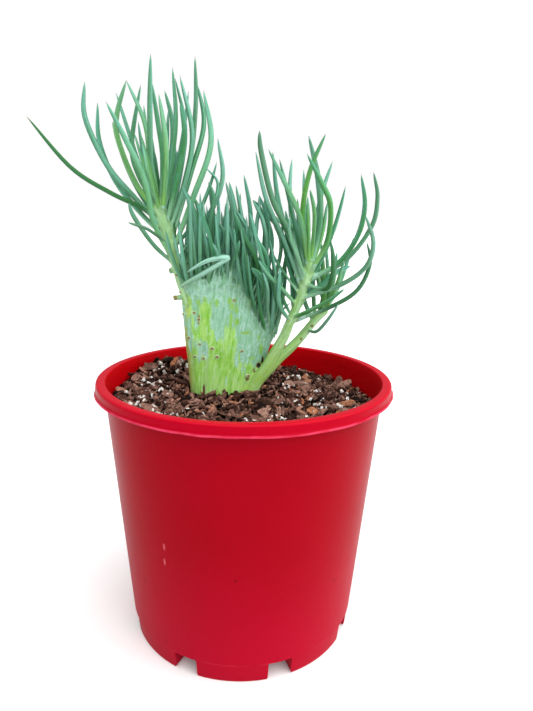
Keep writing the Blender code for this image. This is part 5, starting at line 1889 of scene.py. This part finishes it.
def leaf_chains(stem, leaves, seed):
    draw = random.Random(seed)
    points, edges = [], []
    rows = {name: [] for name in ("girth", "along", "youth_and_shade", "bloom", "lot")}
    for index, (line, radii) in enumerate(leaves):
        edges += [(len(points) + i, len(points) + i + 1) for i in range(len(line) - 1)]
        points += line
        shares = [i / (len(line) - 1) for i in range(len(line))]
        lot = draw.random()
        youth_and_shade = YOUTH_AND_SHADE[stem].get(index, draw.uniform(*USUAL_YOUTH_AND_SHADE[stem]))
        bloom = BLOOM.get((stem, index), draw.uniform(*USUAL_BLOOM.get(stem, (0.0, 0.35))))
        peak = max(radii) * GIRTHS.get((stem, index), SLIMNESS[stem])
        rows["girth"] += [max(full_radius(t, peak), 0.02) for t in shares]
        rows["along"] += shares
        for name, value in (("youth_and_shade", youth_and_shade), ("bloom", bloom), ("lot", lot)):
            rows[name] += [value] * len(line)
    mesh = bpy.data.meshes.new("chains")
    mesh.from_pydata(points, edges, [])
    carry(mesh, rows)
    return mesh


def tubes(chains, material, sides=LEAF_SIDES):
    """A tube along every chain, as wide as its girth says."""
    sprout = Sprout("tubes", {"Sides": sides, "Flatness": LEAF_FLATNESS, "Join": 0.03})
    curve = sprout.add("GeometryNodeMeshToCurve", None, {"Mesh": sprout.given("Geometry")})
    sockets = {"Resolution": sprout.given("Sides"), "Radius": 1.0}
    ring = sprout.add("GeometryNodeCurvePrimitiveCircle", None, sockets)
    ring = sprout.keep(ring, "around", sprout.add("GeometryNodeSplineParameter"))
    sockets = {"Geometry": ring, "Scale": sprout.vector(X=1.0, Y=sprout.given("Flatness"), Z=1.0)}
    ring = sprout.add("GeometryNodeTransform", None, sockets)
    sockets = {"Curve": curve, "Profile Curve": ring, "Scale": sprout.named("girth"), "Fill Caps": True}
    tube = sprout.add("GeometryNodeCurveToMesh", None, sockets)
    sockets = {"Geometry": tube, "Distance": sprout.given("Join")}
    mesh = sprout.run(chains, material, sprout.add("GeometryNodeMergeByDistance", None, sockets))
    mesh.shade_smooth()
    return mesh


# %% [markdown]
# A leaf is grey-green under its wax. Most are bluish teal, old ones deep green, and shaded
# ones painted deep green as shade; young ones are clear bright green. One side of every leaf is
# painted darker as shade and the other lighter as painted light. The foot is pale, the upper half
# is bluer, the last few millimetres end in a dry brown point, and fine lines run along the leaf.
# All of it reads from the attributes on the points.

# %% Leaf finish
def leaf_finish():
    finish = Finish("waxy_leaf", Specular_IOR_Level=0.2)
    along, around, youth_and_shade, bloom, lot = finish.attributes("along", "around", "youth_and_shade", "bloom", "lot")
    where = finish.add("ShaderNodeCombineXYZ", None, {"X": around * 7, "Y": along * 3, "Z": lot * 40})
    lines = finish.noise(where, 0.8, detail=3)
    cloud = finish.noise(finish.place(), 0.007, detail=3)
    turn = finish.add("ShaderNodeMath", {"operation": "SINE"}, {0: (around + lot) * math.tau})
    teal = finish.coat(
        finish.mix(lot, (58, 132, 78), (78, 146, 114)),
        (finish.fade(cloud, 0.42, 0.68) * 0.45, (98, 162, 146)),
        (finish.fade(along, 0.4, 1.0) * 0.5, (84, 152, 146)))
    to_the_tip = finish.fade(along, 0.95, 0.5, 0.35, 1.0)
    lit_side = finish.fade(turn, -0.3, -1.0) * finish.fade(youth_and_shade, -0.9, -0.4) * 0.35
    foot = finish.mix(finish.fade(youth_and_shade, 0.1, 0.8), (138, 188, 152), (132, 188, 88))
    colour = finish.coat(
        teal,
        (finish.fade(youth_and_shade, 0.0, 0.9) * to_the_tip, finish.mix(lot, (78, 144, 44), (102, 168, 64))),
        # Deep green for old leaves, and painted shade on leaves that stand in shade.
        (finish.fade(youth_and_shade, 0.0, -1.0), finish.mix(lot, (30, 82, 36), (44, 98, 56))),
        (bloom * 0.8, (158, 202, 182)),
        # Painted shade: one side of every leaf is laid darker green, and lit_side lays a painted highlight on
        # the other side.
        (finish.fade(turn, 0.0, 0.9) * 0.5, (40, 100, 34)),
        (lit_side, (128, 184, 164)),
        (finish.fade(lines, 0.48, 0.68) * 0.38, (34, 90, 44)),
        (finish.fade(along, 0.28, 0.07) * 0.85, foot),
        (finish.fade(along, 0.975, 1.0), (104, 92, 50)))
    finish.set("Base Color", colour)
    finish.set("Roughness", 0.48 + cloud * 0.2)
    return finish.material


waxy_leaf = leaf_finish()
PIECES = {"leader_stem": "leader_leaves", "tall_side_stem": "tall_leaves", "low_side_stem": "low_leaves",
          "crested_trunk": "comb_leaves"}
for number, (stem, leaves) in enumerate(GROWN.items()):
    chains = leaf_chains(stem, leaves, SEED + 20 + number)
    settle(PIECES[stem], tubes(chains, waxy_leaf), [stem])
chains = leaf_chains("comb_fringe", FRINGE_LEAVES, SEED + 25)
settle("comb_fringe", tubes(chains, waxy_leaf, sides=6), ["crested_trunk"])
